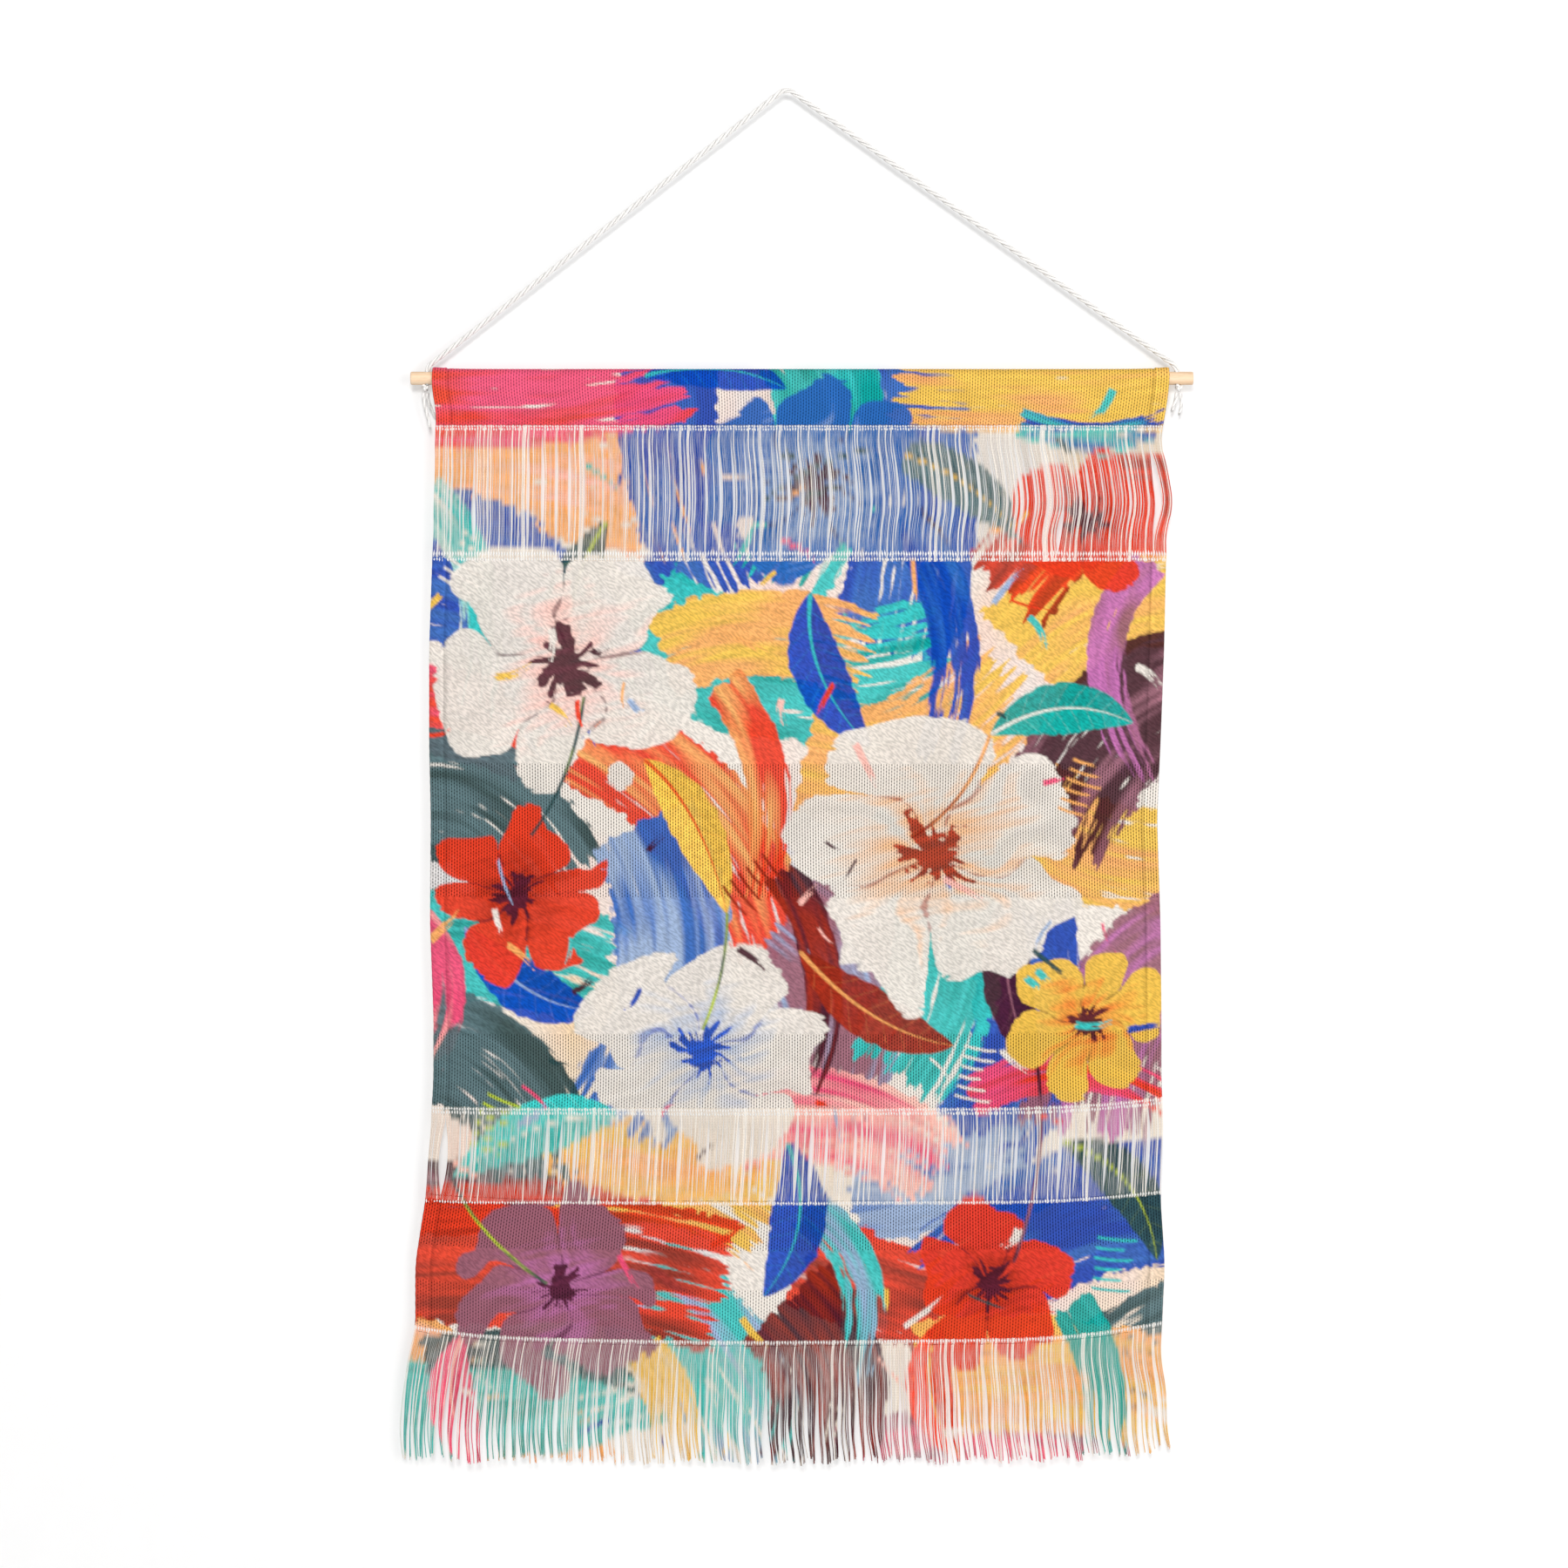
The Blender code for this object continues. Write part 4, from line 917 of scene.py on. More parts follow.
class NodeGroups:
    """The shared shader effects, each built once."""

    def __init__(self) -> None:
        """Builds every group."""
        self.rib = self._rib()
        self.crepe = self._crepe()
        self.fibre = self._fibre()
        self.twist = self._twist()
        self.grain = self._grain()

    @staticmethod
    def _start(name: str, inputs: dict[str, float],
               outputs: Sequence[str] = ("Tone", "Height")) -> tuple[Net, bpy.types.Node, bpy.types.Node]:
        """Opens a new group that takes a place and some numbers.

        Args:
            name: Name of the group.
            inputs: First value of each number that it takes, by name.
            outputs: Name of each number that it puts out.

        Returns:
            The net, the input node and the output node.
        """
        tree = bpy.data.node_groups.new(name, "ShaderNodeTree")
        tree.interface.new_socket(name="Place", in_out="INPUT", socket_type="NodeSocketVector")
        for title, value in inputs.items():
            socket = tree.interface.new_socket(name=title, in_out="INPUT", socket_type="NodeSocketFloat")
            socket.default_value = value
        for title in outputs:
            tree.interface.new_socket(name=title, in_out="OUTPUT", socket_type="NodeSocketFloat")
        net = Net(tree)
        return net, net.node("NodeGroupInput"), net.node("NodeGroupOutput")

    def _rib(self) -> bpy.types.NodeTree:
        """Builds upright ribs with staggered dark dots in the grooves between them: painted shade in the
        grooves and dots, painted highlight on the crests.
        """
        depths = {"Dot Depth": 0.5, "Groove Depth": 0.2, "Ridge Light": 0.1}
        net, given, out = self._start("rib_weave", depths)
        split = net.node("ShaderNodeSeparateXYZ")
        net.feed(split.inputs[0], given.outputs["Place"])
        across, down = split.outputs[0], split.outputs[1]
        groove = net.range(net.math("COSINE", net.times(across, 2 * math.pi)), -0.2, 1.0, 0.0, 1.0)
        number = net.math("FLOOR", net.plus(across, 0.5))
        wander = net.noise(given.outputs["Place"], 0.9)
        staggered = net.plus(net.plus(down, net.times(number, 0.5)), net.times(wander, 0.25))
        dot = net.range(net.math("COSINE", net.times(staggered, 2 * math.pi)), -0.15, 0.9, 0.0, 1.0)
        deep = net.times(net.times(groove, dot), given.outputs["Dot Depth"])
        strength = net.range(wander, 0.25, 0.75, 0.7, 1.15)
        # Painted shade: the grooves and the dots in them darken the colour.
        dark = net.plus(net.times(deep, strength), net.times(groove, given.outputs["Groove Depth"]))
        # Painted highlight: the rib crests lighten the colour.
        ridge = net.times(net.minus(1.0, groove), given.outputs["Ridge Light"])
        net.feed(out.inputs["Tone"], net.math("MAXIMUM", net.plus(net.minus(1.0, dark), ridge), 0.06))
        net.feed(out.inputs["Height"], net.minus(1.0, net.math("MAXIMUM", deep, groove)))
        return net.tree

    def _crepe(self) -> bpy.types.NodeTree:
        """Builds the small slanted flecks of the crepe weave, with painted shade in the hollows between them.
        """
        net, given, out = self._start("crepe_weave", {"Fleck Depth": 0.2})
        turned = net.node("ShaderNodeMapping", vector_type="TEXTURE")
        net.feed(turned.inputs["Vector"], given.outputs["Place"])
        turned.inputs["Rotation"].default_value = (0.0, 0.0, CREPE_SLANT)
        turned.inputs["Scale"].default_value = (1.75, 0.56, 1.0)
        fleck = net.noise(turned.outputs[0], 0.95, 0.5, 0.4)
        fine = net.noise(given.outputs["Place"], 2.4, 2.0, 0.6)
        both = net.plus(net.times(fleck, 0.82), net.times(fine, 0.18))
        sharp = net.range(both, 0.38, 0.60, 0.0, 1.0)
        # Painted shade: the hollows between the flecks, where the height is low, darken the colour.
        dark = net.times(net.minus(1.0, sharp), given.outputs["Fleck Depth"])
        net.feed(out.inputs["Tone"], net.minus(1.05, dark))
        net.feed(out.inputs["Height"], sharp)
        return net.tree

    def _fibre(self) -> bpy.types.NodeTree:
        """Builds the fine unevenness of spun fibre."""
        net, given, out = self._start("fibre_noise", {"Depth": 0.1})
        fine = net.noise(given.outputs["Place"], 2600.0, 3.0, 0.65)
        broad = net.noise(given.outputs["Place"], 60.0, 3.0, 0.6)
        both = net.plus(net.times(fine, 0.7), net.times(broad, 0.3))
        swing = net.times(net.minus(both, 0.5), given.outputs["Depth"])
        net.feed(out.inputs["Tone"], net.plus(1.0, net.times(swing, 2.0)))
        net.feed(out.inputs["Height"], both)
        return net.tree

    def _twist(self) -> bpy.types.NodeTree:
        """Builds the slanted turns of a twisted yarn, with painted shade between the strands."""
        net, given, out = self._start("yarn_twist", {"Depth": 0.3, "Strands": 3.0})
        split = net.node("ShaderNodeSeparateXYZ")
        net.feed(split.inputs[0], given.outputs["Place"])
        around = net.times(split.outputs[0], given.outputs["Strands"])
        phase = net.times(net.plus(around, split.outputs[1]), 2 * math.pi)
        strand = net.range(net.math("COSINE", phase), -1.0, 0.4, 0.0, 1.0)
        uneven_fibre = net.noise(given.outputs["Place"], 5.0, 2.0, 0.6)
        # Painted shade: the colour is darker between the strands.
        dark = net.times(net.minus(1.0, strand), given.outputs["Depth"])
        speckle = net.range(uneven_fibre, 0.2, 0.8, -0.06, 0.06)
        net.feed(out.inputs["Tone"], net.plus(net.minus(1.0, dark), speckle))
        net.feed(out.inputs["Height"], net.plus(strand, net.times(uneven_fibre, 0.3)))
        return net.tree

    def _grain(self) -> bpy.types.NodeTree:
        """Builds straight wood grain along x, with short pores."""
        net, given, out = self._start("wood_grain", {}, ("Band", "Pore", "Height"))
        long = net.stretched(given.outputs["Place"], (9.0, 420.0, 420.0))
        band = net.noise(long, 1.0, 4.0, 0.55)
        short = net.stretched(given.outputs["Place"], (90.0, 1900.0, 1900.0))
        pore = net.range(net.noise(short, 1.0, 2.0, 0.6), 0.60, 0.72, 0.0, 1.0)
        net.feed(out.inputs["Band"], net.range(band, 0.3, 0.7, 0.0, 1.0))
        net.feed(out.inputs["Pore"], pore)
        net.feed(out.inputs["Height"], net.minus(band, net.times(pore, 0.5)))
        return net.tree


@dataclass(frozen=True)
class Finish:
    """What every finish has: its name and how it takes light."""

    name: str
    roughness: float = 0.9
    sheen: float = 0.15
    bump: float = 0.00012
    specular: float = 0.12

    def open(self) -> tuple[bpy.types.Material, Net, bpy.types.Node]:
        """Returns a new material, its net and its shader, already joined to the output."""
        material = bpy.data.materials.new(self.name)
        material.use_nodes = True
        net = Net(material.node_tree)
        shader = net.node("ShaderNodeBsdfPrincipled")
        shader.inputs["Roughness"].default_value = self.roughness
        shader.inputs["Specular IOR Level"].default_value = self.specular
        if self.sheen:
            shader.inputs["Sheen Weight"].default_value = self.sheen
            shader.inputs["Sheen Roughness"].default_value = 0.5
        out = net.node("ShaderNodeOutputMaterial")
        net.feed(out.inputs["Surface"], shader.outputs[0])
        return material, net, shader

    def group(self, net: Net, tree: bpy.types.NodeTree, place: object, **values: float) -> bpy.types.Node:
        """Places a shared effect in the material and returns it with its own values."""
        made = net.node("ShaderNodeGroup", node_tree=tree)
        net.feed(made.inputs["Place"], place)
        for name, value in values.items():
            made.inputs[name.replace("_", " ")].default_value = value
        return made

    def raise_surface(self, net: Net, shader: bpy.types.Node, height: object) -> None:
        """Feeds a height into the shader's normal."""
        bump = net.node("ShaderNodeBump")
        bump.inputs["Distance"].default_value = self.bump
        bump.inputs["Strength"].default_value = 1.0
        net.feed(bump.inputs["Height"], height)
        net.feed(shader.inputs["Normal"], bump.outputs[0])


class Weave(Enum):
    """How a stretch of cloth is woven."""

    CREPE = "crepe"
    RIB = "rib"
    BASKET = "basket"


@dataclass(frozen=True)
class SpunFinish(Finish):
    """Spun fibre that carries the colour of its own points, with the painted shade and highlight of its weave
    or twist.
    """

    fibre_depth: float = 0.10
    fibre_height: float = 0.35
    dull: tuple[float, float, float] = (0.3, 1.1, 0.98)

    def pattern(self, net: Net, groups: NodeGroups, place: object) -> bpy.types.Node:
        """Places the effect that shows how the fibre is worked, and returns it."""
        raise NotImplementedError

    def material(self, groups: NodeGroups) -> bpy.types.Material:
        """Returns the material."""
        material, net, shader = self.open()
        printed = net.node("ShaderNodeAttribute", attribute_name="print").outputs["Color"]
        place = net.node("ShaderNodeUVMap", uv_map="weave").outputs[0]
        space = net.node("ShaderNodeTexCoord").outputs["Object"]
        worked = self.pattern(net, groups, place)
        fibre = self.group(net, groups.fibre, space, Depth=self.fibre_depth)
        tone = worked.outputs["Tone"]
        low, high, roughest = self.dull
        # Base colour: the print times the painted shade and highlight of the weave or twist, and the fibre's
        # uneven tone.
        net.feed(shader.inputs["Base Color"], net.scaled(printed, net.times(tone, fibre.outputs["Tone"])))
        net.feed(shader.inputs["Roughness"], net.range(tone, low, high, roughest, self.roughness))
        height = net.plus(worked.outputs["Height"], net.times(fibre.outputs["Height"], self.fibre_height))
        self.raise_surface(net, shader, height)
        return material


@dataclass(frozen=True)
class ClothFinish(SpunFinish):
    """Printed woven cloth."""

    weave: Weave = Weave.CREPE
    # Painted shade in the dots, grooves and crepe flecks, and painted highlight on the rib crests.
    dot_depth: float = 0.0
    groove_depth: float = 0.0
    ridge_light: float = 0.0
    fleck_depth: float = 0.0

    def pattern(self, net: Net, groups: NodeGroups, place: object) -> bpy.types.Node:
        """Places the weave."""
        if self.weave is Weave.CREPE:
            return self.group(net, groups.crepe, place, Fleck_Depth=self.fleck_depth)
        return self.group(net, groups.rib, place, Dot_Depth=self.dot_depth, Groove_Depth=self.groove_depth,
                          Ridge_Light=self.ridge_light)


@dataclass(frozen=True)
class YarnFinish(SpunFinish):
    """Twisted yarn."""

    fibre_height: float = 0.4
    dull: tuple[float, float, float] = (0.6, 1.0, 0.97)
    # Painted shade between the twisted strands.
    depth: float = 0.12
    strands: float = 2.0

    def pattern(self, net: Net, groups: NodeGroups, place: object) -> bpy.types.Node:
        """Places the twist."""
        return self.group(net, groups.twist, place, Depth=self.depth, Strands=self.strands)


@dataclass(frozen=True)
class WoodFinish(Finish):
    """Sanded pale wood, without varnish."""

    pale: tuple[int, int, int] = (248, 222, 192)
    warm: tuple[int, int, int] = (238, 200, 160)
    deep: tuple[int, int, int] = (205, 155, 112)

    def material(self, groups: NodeGroups) -> bpy.types.Material:
        """Returns the material."""
        material, net, shader = self.open()
        space = net.node("ShaderNodeTexCoord").outputs["Object"]
        grain = self.group(net, groups.grain, space)
        pale, warm, deep = ((*linear(one).tolist(), 1.0) for one in (self.pale, self.warm, self.deep))
        wood = net.mix(grain.outputs["Band"], pale, warm)
        wood = net.mix(net.times(grain.outputs["Pore"], 0.45), wood, deep)
        split = net.node("ShaderNodeSeparateXYZ")
        normal = net.node("ShaderNodeNewGeometry").outputs["Normal"]
        net.feed(split.inputs[0], normal)
        end = net.range(net.math("ABSOLUTE", split.outputs[0]), 0.6, 0.95, 0.0, 0.35)
        net.feed(shader.inputs["Base Color"], net.mix(end, wood, deep))
        net.feed(shader.inputs["Roughness"], net.range(grain.outputs["Band"], 0.0, 1.0, self.roughness, 0.62))
        self.raise_surface(net, shader, grain.outputs["Height"])
        return material


@dataclass(frozen=True)
class StudioFinish(Finish):
    """Matt white studio paper, seen from its front only where it is a wall."""

    see_through_back: bool = False
    level: float = 0.93
    glow: float = 0.0

    def material(self) -> bpy.types.Material:
        """Returns the material."""
        material, net, shader = self.open()
        shader.inputs["Emission Strength"].default_value = self.glow
        space = net.node("ShaderNodeTexCoord").outputs["Object"]
        speck = net.range(net.noise(space, 35.0, 3.0), 0.3, 0.7, 0.985, 1.0)
        net.feed(shader.inputs["Base Color"], net.scaled((self.level, self.level, self.level), speck))
        self.raise_surface(net, shader, net.noise(space, 90.0, 2.0))
        if self.see_through_back:
            out = next(n for n in net.tree.nodes if n.type == "OUTPUT_MATERIAL")
            clear = net.node("ShaderNodeBsdfTransparent")
            mixed = net.node("ShaderNodeMixShader")
            net.feed(mixed.inputs[0], net.node("ShaderNodeNewGeometry").outputs["Backfacing"])
            net.feed(mixed.inputs[1], shader.outputs[0])
            net.feed(mixed.inputs[2], clear.outputs[0])
            net.feed(out.inputs["Surface"], mixed.outputs[0])
        return material


@dataclass
class Workshop:
    """What the sub-assemblies share: the hung form, the printed design and the shader effects."""

    form: ClothForm
    design: PrintedDesign
    groups: NodeGroups

    def finish_piece(self, piece: bpy.types.Object, slot: str, *nodes: str) -> bpy.types.Object:
        """Puts a piece on its body, over the solids that it stands for.

        Args:
            piece: The piece.
            slot: Slot of the record; not used.
            nodes: Solids that it replaces.

        Returns:
            The piece.
        """
        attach(piece, BODY)
        if nodes:
            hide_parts(*nodes)
        LOG.info("%s: %d faces", piece.name, len(piece.data.polygons))
        return piece


def catmull_rom(points: np.ndarray, per_span: int) -> np.ndarray:
    """Runs a smooth curve through points, with spacing that follows their distances.

    Args:
        points: Points to pass through.
        per_span: Samples between two points.

    Returns:
        Points on the curve.
    """
    ends = np.vstack((2 * points[0] - points[1], points, 2 * points[-1] - points[-2]))
    curve = []
    for a, b, c, d in zip(ends, ends[1:], ends[2:], ends[3:]):
        knot = np.cumsum([0.0] + [math.sqrt(np.linalg.norm(q - p)) for p, q in ((a, b), (b, c), (c, d))])
        for when in np.linspace(knot[1], knot[2], per_span, endpoint=False):
            ab = a + (b - a) * (when - knot[0]) / (knot[1] - knot[0])
            bc = b + (c - b) * (when - knot[1]) / (knot[2] - knot[1])
            cd = c + (d - c) * (when - knot[2]) / (knot[3] - knot[2])
            abc = ab + (bc - ab) * (when - knot[0]) / (knot[2] - knot[0])
            bcd = bc + (cd - bc) * (when - knot[1]) / (knot[3] - knot[1])
            curve.append(abc + (bcd - abc) * (when - knot[1]) / (knot[2] - knot[1]))
    return np.array(curve + [points[-1]])


def smooth_route(points: np.ndarray, step: float) -> np.ndarray:
    """Returns points a step apart along the smooth curve through the given ones."""
    curve = catmull_rom(points, 24)
    reach = reach_along(curve)
    places = np.linspace(0.0, reach[-1], max(2, round(reach[-1] / step) + 1))
    return np.stack([np.interp(places, reach, curve[:, axis]) for axis in range(3)], axis=1)


# Points that each strand of the tails passes: right of the knot, behind it and below it.
TAIL_ROUTES = {
    "tail_left_outer": (
        (-0.0014, 0.0004, 0.0044), (-0.0012, 0.0006, 0.0110), (0.0006, 0.0010, 0.0190),
        (0.0026, 0.0014, 0.0270), (0.0038, 0.0014, 0.0335),
    ),
    "tail_left_inner": (
        (0.0018, 0.0006, 0.0044), (0.0022, 0.0022, 0.0100), (0.0050, 0.0052, 0.0180),
        (0.0086, 0.0072, 0.0250), (0.0122, 0.0078, 0.0300),
    ),
    "tail_right_outer": (
        (0.0015, 0.0004, 0.0042), (0.0022, 0.0006, 0.0090), (0.0024, 0.0008, 0.0150),
        (0.0006, 0.0010, 0.0215),
    ),
    "tail_right_inner": (
        (-0.0017, 0.0004, 0.0042), (-0.0022, 0.0006, 0.0090), (-0.0036, 0.0008, 0.0140),
        (-0.0056, 0.0010, 0.0190),
    ),
}


@dataclass
class HangingRope:
    """The twisted cotton rope, its two knots and their cut tails."""

    shop: Workshop
    hole_left: float = -0.3013
    hole_right: float = 0.3265
    dowel_top: float = -0.2356
    dowel_middle: float = -0.2411
    dowel_bottom: float = -0.2466
    diameter: float = 0.0046
    length: float = 0.810
    plies: int = 3
    ply_radius: float = 0.00116
    ply_offset: float = 0.00120
    turn_length: float = 0.0260
    ring_step: float = 0.0014
    ply_sides: int = 12
    # Painted shade: plies are darker where they lie deep, in the grooves between them.
    groove_reach: Point2 = (0.0012, 0.0016)
    groove_shade: Point2 = (0.40, 1.0)
    knot_drop: float = 0.0024
    knot_shift: float = 0.0015
    knot_strand: float = 0.00135
    knot_size: Point3 = (0.0034, 0.0031, 0.0036)
    strand_sides: int = 14
    strand_turn: float = 0.0042
    strand_ridge: float = 0.12
    tail_radius: float = 0.0015
    tail_step: float = 0.0006
    tuft_count: int = 14
    tuft_radius: float = 0.0011
    fibre_radius: float = 0.00016
    wall_gap: float = 0.0082

    def route(self) -> np.ndarray:
        """Returns the points that the rope passes, from the left knot over the hook to the right knot."""
        left, right, top = self.hole_left, self.hole_right, self.dowel_top
        flat = (
            (left, self.dowel_bottom), (left, self.dowel_middle), (left, top - 0.0007),
            (left + 0.00042, top + 0.00206), (left + 0.00165, top + 0.00456), (left + 0.00356, top + 0.0066),
            (-0.2900, -0.2230), (-0.2500, -0.1919), (-0.1500, -0.1141), (-0.0500, -0.0364),
            (-0.0150, -0.0091), (-0.0058, -0.0020), (-0.0031, -0.0005), (0.0, 0.0),
            (0.0029, -0.0005), (0.0055, -0.0018), (0.0150, -0.0086), (0.0500, -0.0336),
            (0.1500, -0.1052), (0.2600, -0.1839), (0.3130, -0.2218), (right - 0.00384, top + 0.00685),
            (right - 0.00179, top + 0.00482), (right - 0.00046, top + 0.00223), (right, top - 0.0006),
            (right, self.dowel_middle), (right, self.dowel_bottom),
        )
        return np.array([(x, 0.0, z) for x, z in flat])

    def _ridged(self, name: str, path: np.ndarray, radius: np.ndarray) -> bpy.types.Object:
        """Makes one strand whose plies show as slanted ridges.

        Args:
            name: Name of the piece.
            path: Centre points.
            radius: Radius at each ring.

        Returns:
            The object.
        """
        angle = np.arange(self.strand_sides) * 2 * math.pi / self.strand_sides
        ridge = np.cos(2 * angle[None, :] - reach_along(path)[:, None] / self.strand_turn * math.pi)
        radii = radius[:, None] * (1 + self.strand_ridge * ridge)
        parts = tube_parts(path[None], radii[None], self.strand_sides, Ink.WHITE.light, twist=0.0016)
        # Painted shade: the strand is darker in the grooves between its ridges.
        parts.inks[0] = parts.inks[0] * np.clip(0.95 + 0.20 * ridge, 0.78, 1.0).reshape(-1, 1)
        return parts.make(name, self._finish)

    def build(self) -> None:
        """Makes the rope first, then its knots and tails."""
        cotton = YarnFinish("white_cotton", 0.85, 0.30, 0.00010, strands=3.0, fibre_depth=0.06)
        self._finish = cotton.material(self.shop.groups)
        centre = smooth_route(self.route(), self.ring_step)
        tangent = unit(np.gradient(centre, axis=0))
        side = np.array((0.0, 1.0, 0.0))
        up = np.cross(tangent, side)
        phase = np.arange(self.plies)[:, None] * 2 * math.pi / self.plies
        phase = phase + reach_along(centre) / self.turn_length * 2 * math.pi
        offset = np.cos(phase)[..., None] * up + np.sin(phase)[..., None] * side
        plies = centre + self.ply_offset * offset
        shade = Ink.WHITE.light * (1 - 0.03 * np.arange(self.plies))[:, None, None]
        parts = tube_parts(plies, self.ply_radius, self.ply_sides, shade, twist=0.0020)
        # Painted shade: each ply is darker where it lies deep, in the grooves between the plies.
        outside = parts.points[0].reshape(self.plies, len(centre), self.ply_sides, 3) - centre[:, None]
        groove_painted_shade = np.interp(np.linalg.norm(outside, axis=-1), self.groove_reach, self.groove_shade)
        parts.inks[0] = parts.inks[0] * groove_painted_shade.reshape(-1, 1)
        rope = self.shop.finish_piece(parts.make("hanger_rope", self._finish), "cord", "hanger_cord")
        knots = [self._knot("left", -1), self._knot("right", 1)]
        tails = self._tails()

    def _knot(self, side: str, sign: int) -> bpy.types.Object:
        """Ties one stopper knot under its hole, as an overhand loop of the rope's strands."""
        middle_x = (self.hole_left if sign < 0 else self.hole_right) + sign * self.knot_shift
        middle = np.array((middle_x, 0.0, self.dowel_bottom - self.knot_drop))
        around = np.linspace(0, 2 * math.pi, 97)[:-1]
        loop = np.stack((np.sin(around) + 2 * np.sin(2 * around), -np.sin(3 * around) * 1.5,
                         np.cos(around) - 2 * np.cos(2 * around)), axis=1)
        room = np.array(self.knot_size) - self.knot_strand
        path = middle + loop / (3.0, 1.5, 3.0) * room * (1.0, 1.0, 0.94)
        path = np.vstack((path, path[:1]))
        knot = self._ridged(f"rope_knot_{side}", path, np.full(len(path), self.knot_strand))
        return self.shop.finish_piece(knot, "cord", f"knot_{side}")

    def _tails(self) -> list[bpy.types.Object]:
        """Opens the cut tails: two strands each, and the loose fibres at their ends."""
        made = []
        for name, points in TAIL_ROUTES.items():
            left = "left" in name
            knot_x = self.hole_left - self.knot_shift if left else self.hole_right + self.knot_shift
            knot = np.array((knot_x, 0.0, self.dowel_bottom - self.knot_drop))
            path = smooth_route(knot + np.array(points) * (1, 1, -1), self.tail_step)
            share = np.linspace(0, 1, len(path))
            radius = self.tail_radius * (1 - 0.18 * share) * np.clip((1.02 - share) / 0.06, 0.45, 1)
            tail = self._ridged(name.replace("tail", "rope_tail"), path, radius)
            made.append(self.shop.finish_piece(tail, "cord", name))
            made.append(self._tuft(name, path[-1], path[-1] - path[-4]))
        return made

    def _tuft(self, name: str, end: np.ndarray, direction: np.ndarray) -> bpy.types.Object:
        """Fans loose fibres out of a cut end."""
        number = np.arange(self.tuft_count)
        turn = number * GOLDEN_ANGLE
        wide = self.tuft_radius * np.sqrt((number + 0.5) / self.tuft_count)
        heading = unit(direction)
        side = unit(np.cross(heading, (0.0, 1.0, 0.0)))
        other = np.cross(heading, side)
        spread = wide[:, None] * (np.cos(turn)[:, None] * side + np.sin(turn)[:, None] * other)
        share = np.linspace(0, 1, 6)
        length = 0.0022 + 0.0012 * uneven(number + 3)
        grown = heading * (share[None, :, None] * length[:, None, None] - 0.0008)
        paths = end + spread[:, None] * (1 + 0.45 * share[None, :, None] ** 2) + grown
        paths[..., 1] = np.minimum(paths[..., 1], self.wall_gap)
        radii = self.fibre_radius * (1 - 0.5 * share)[None, :, None]
        parts = tube_parts(paths, radii, 3, Ink.WHITE.light, per_row=7, twist=0.0010)
        return self.shop.finish_piece(parts.make(name.replace("tail", "rope_tuft"), self._finish), "cord")


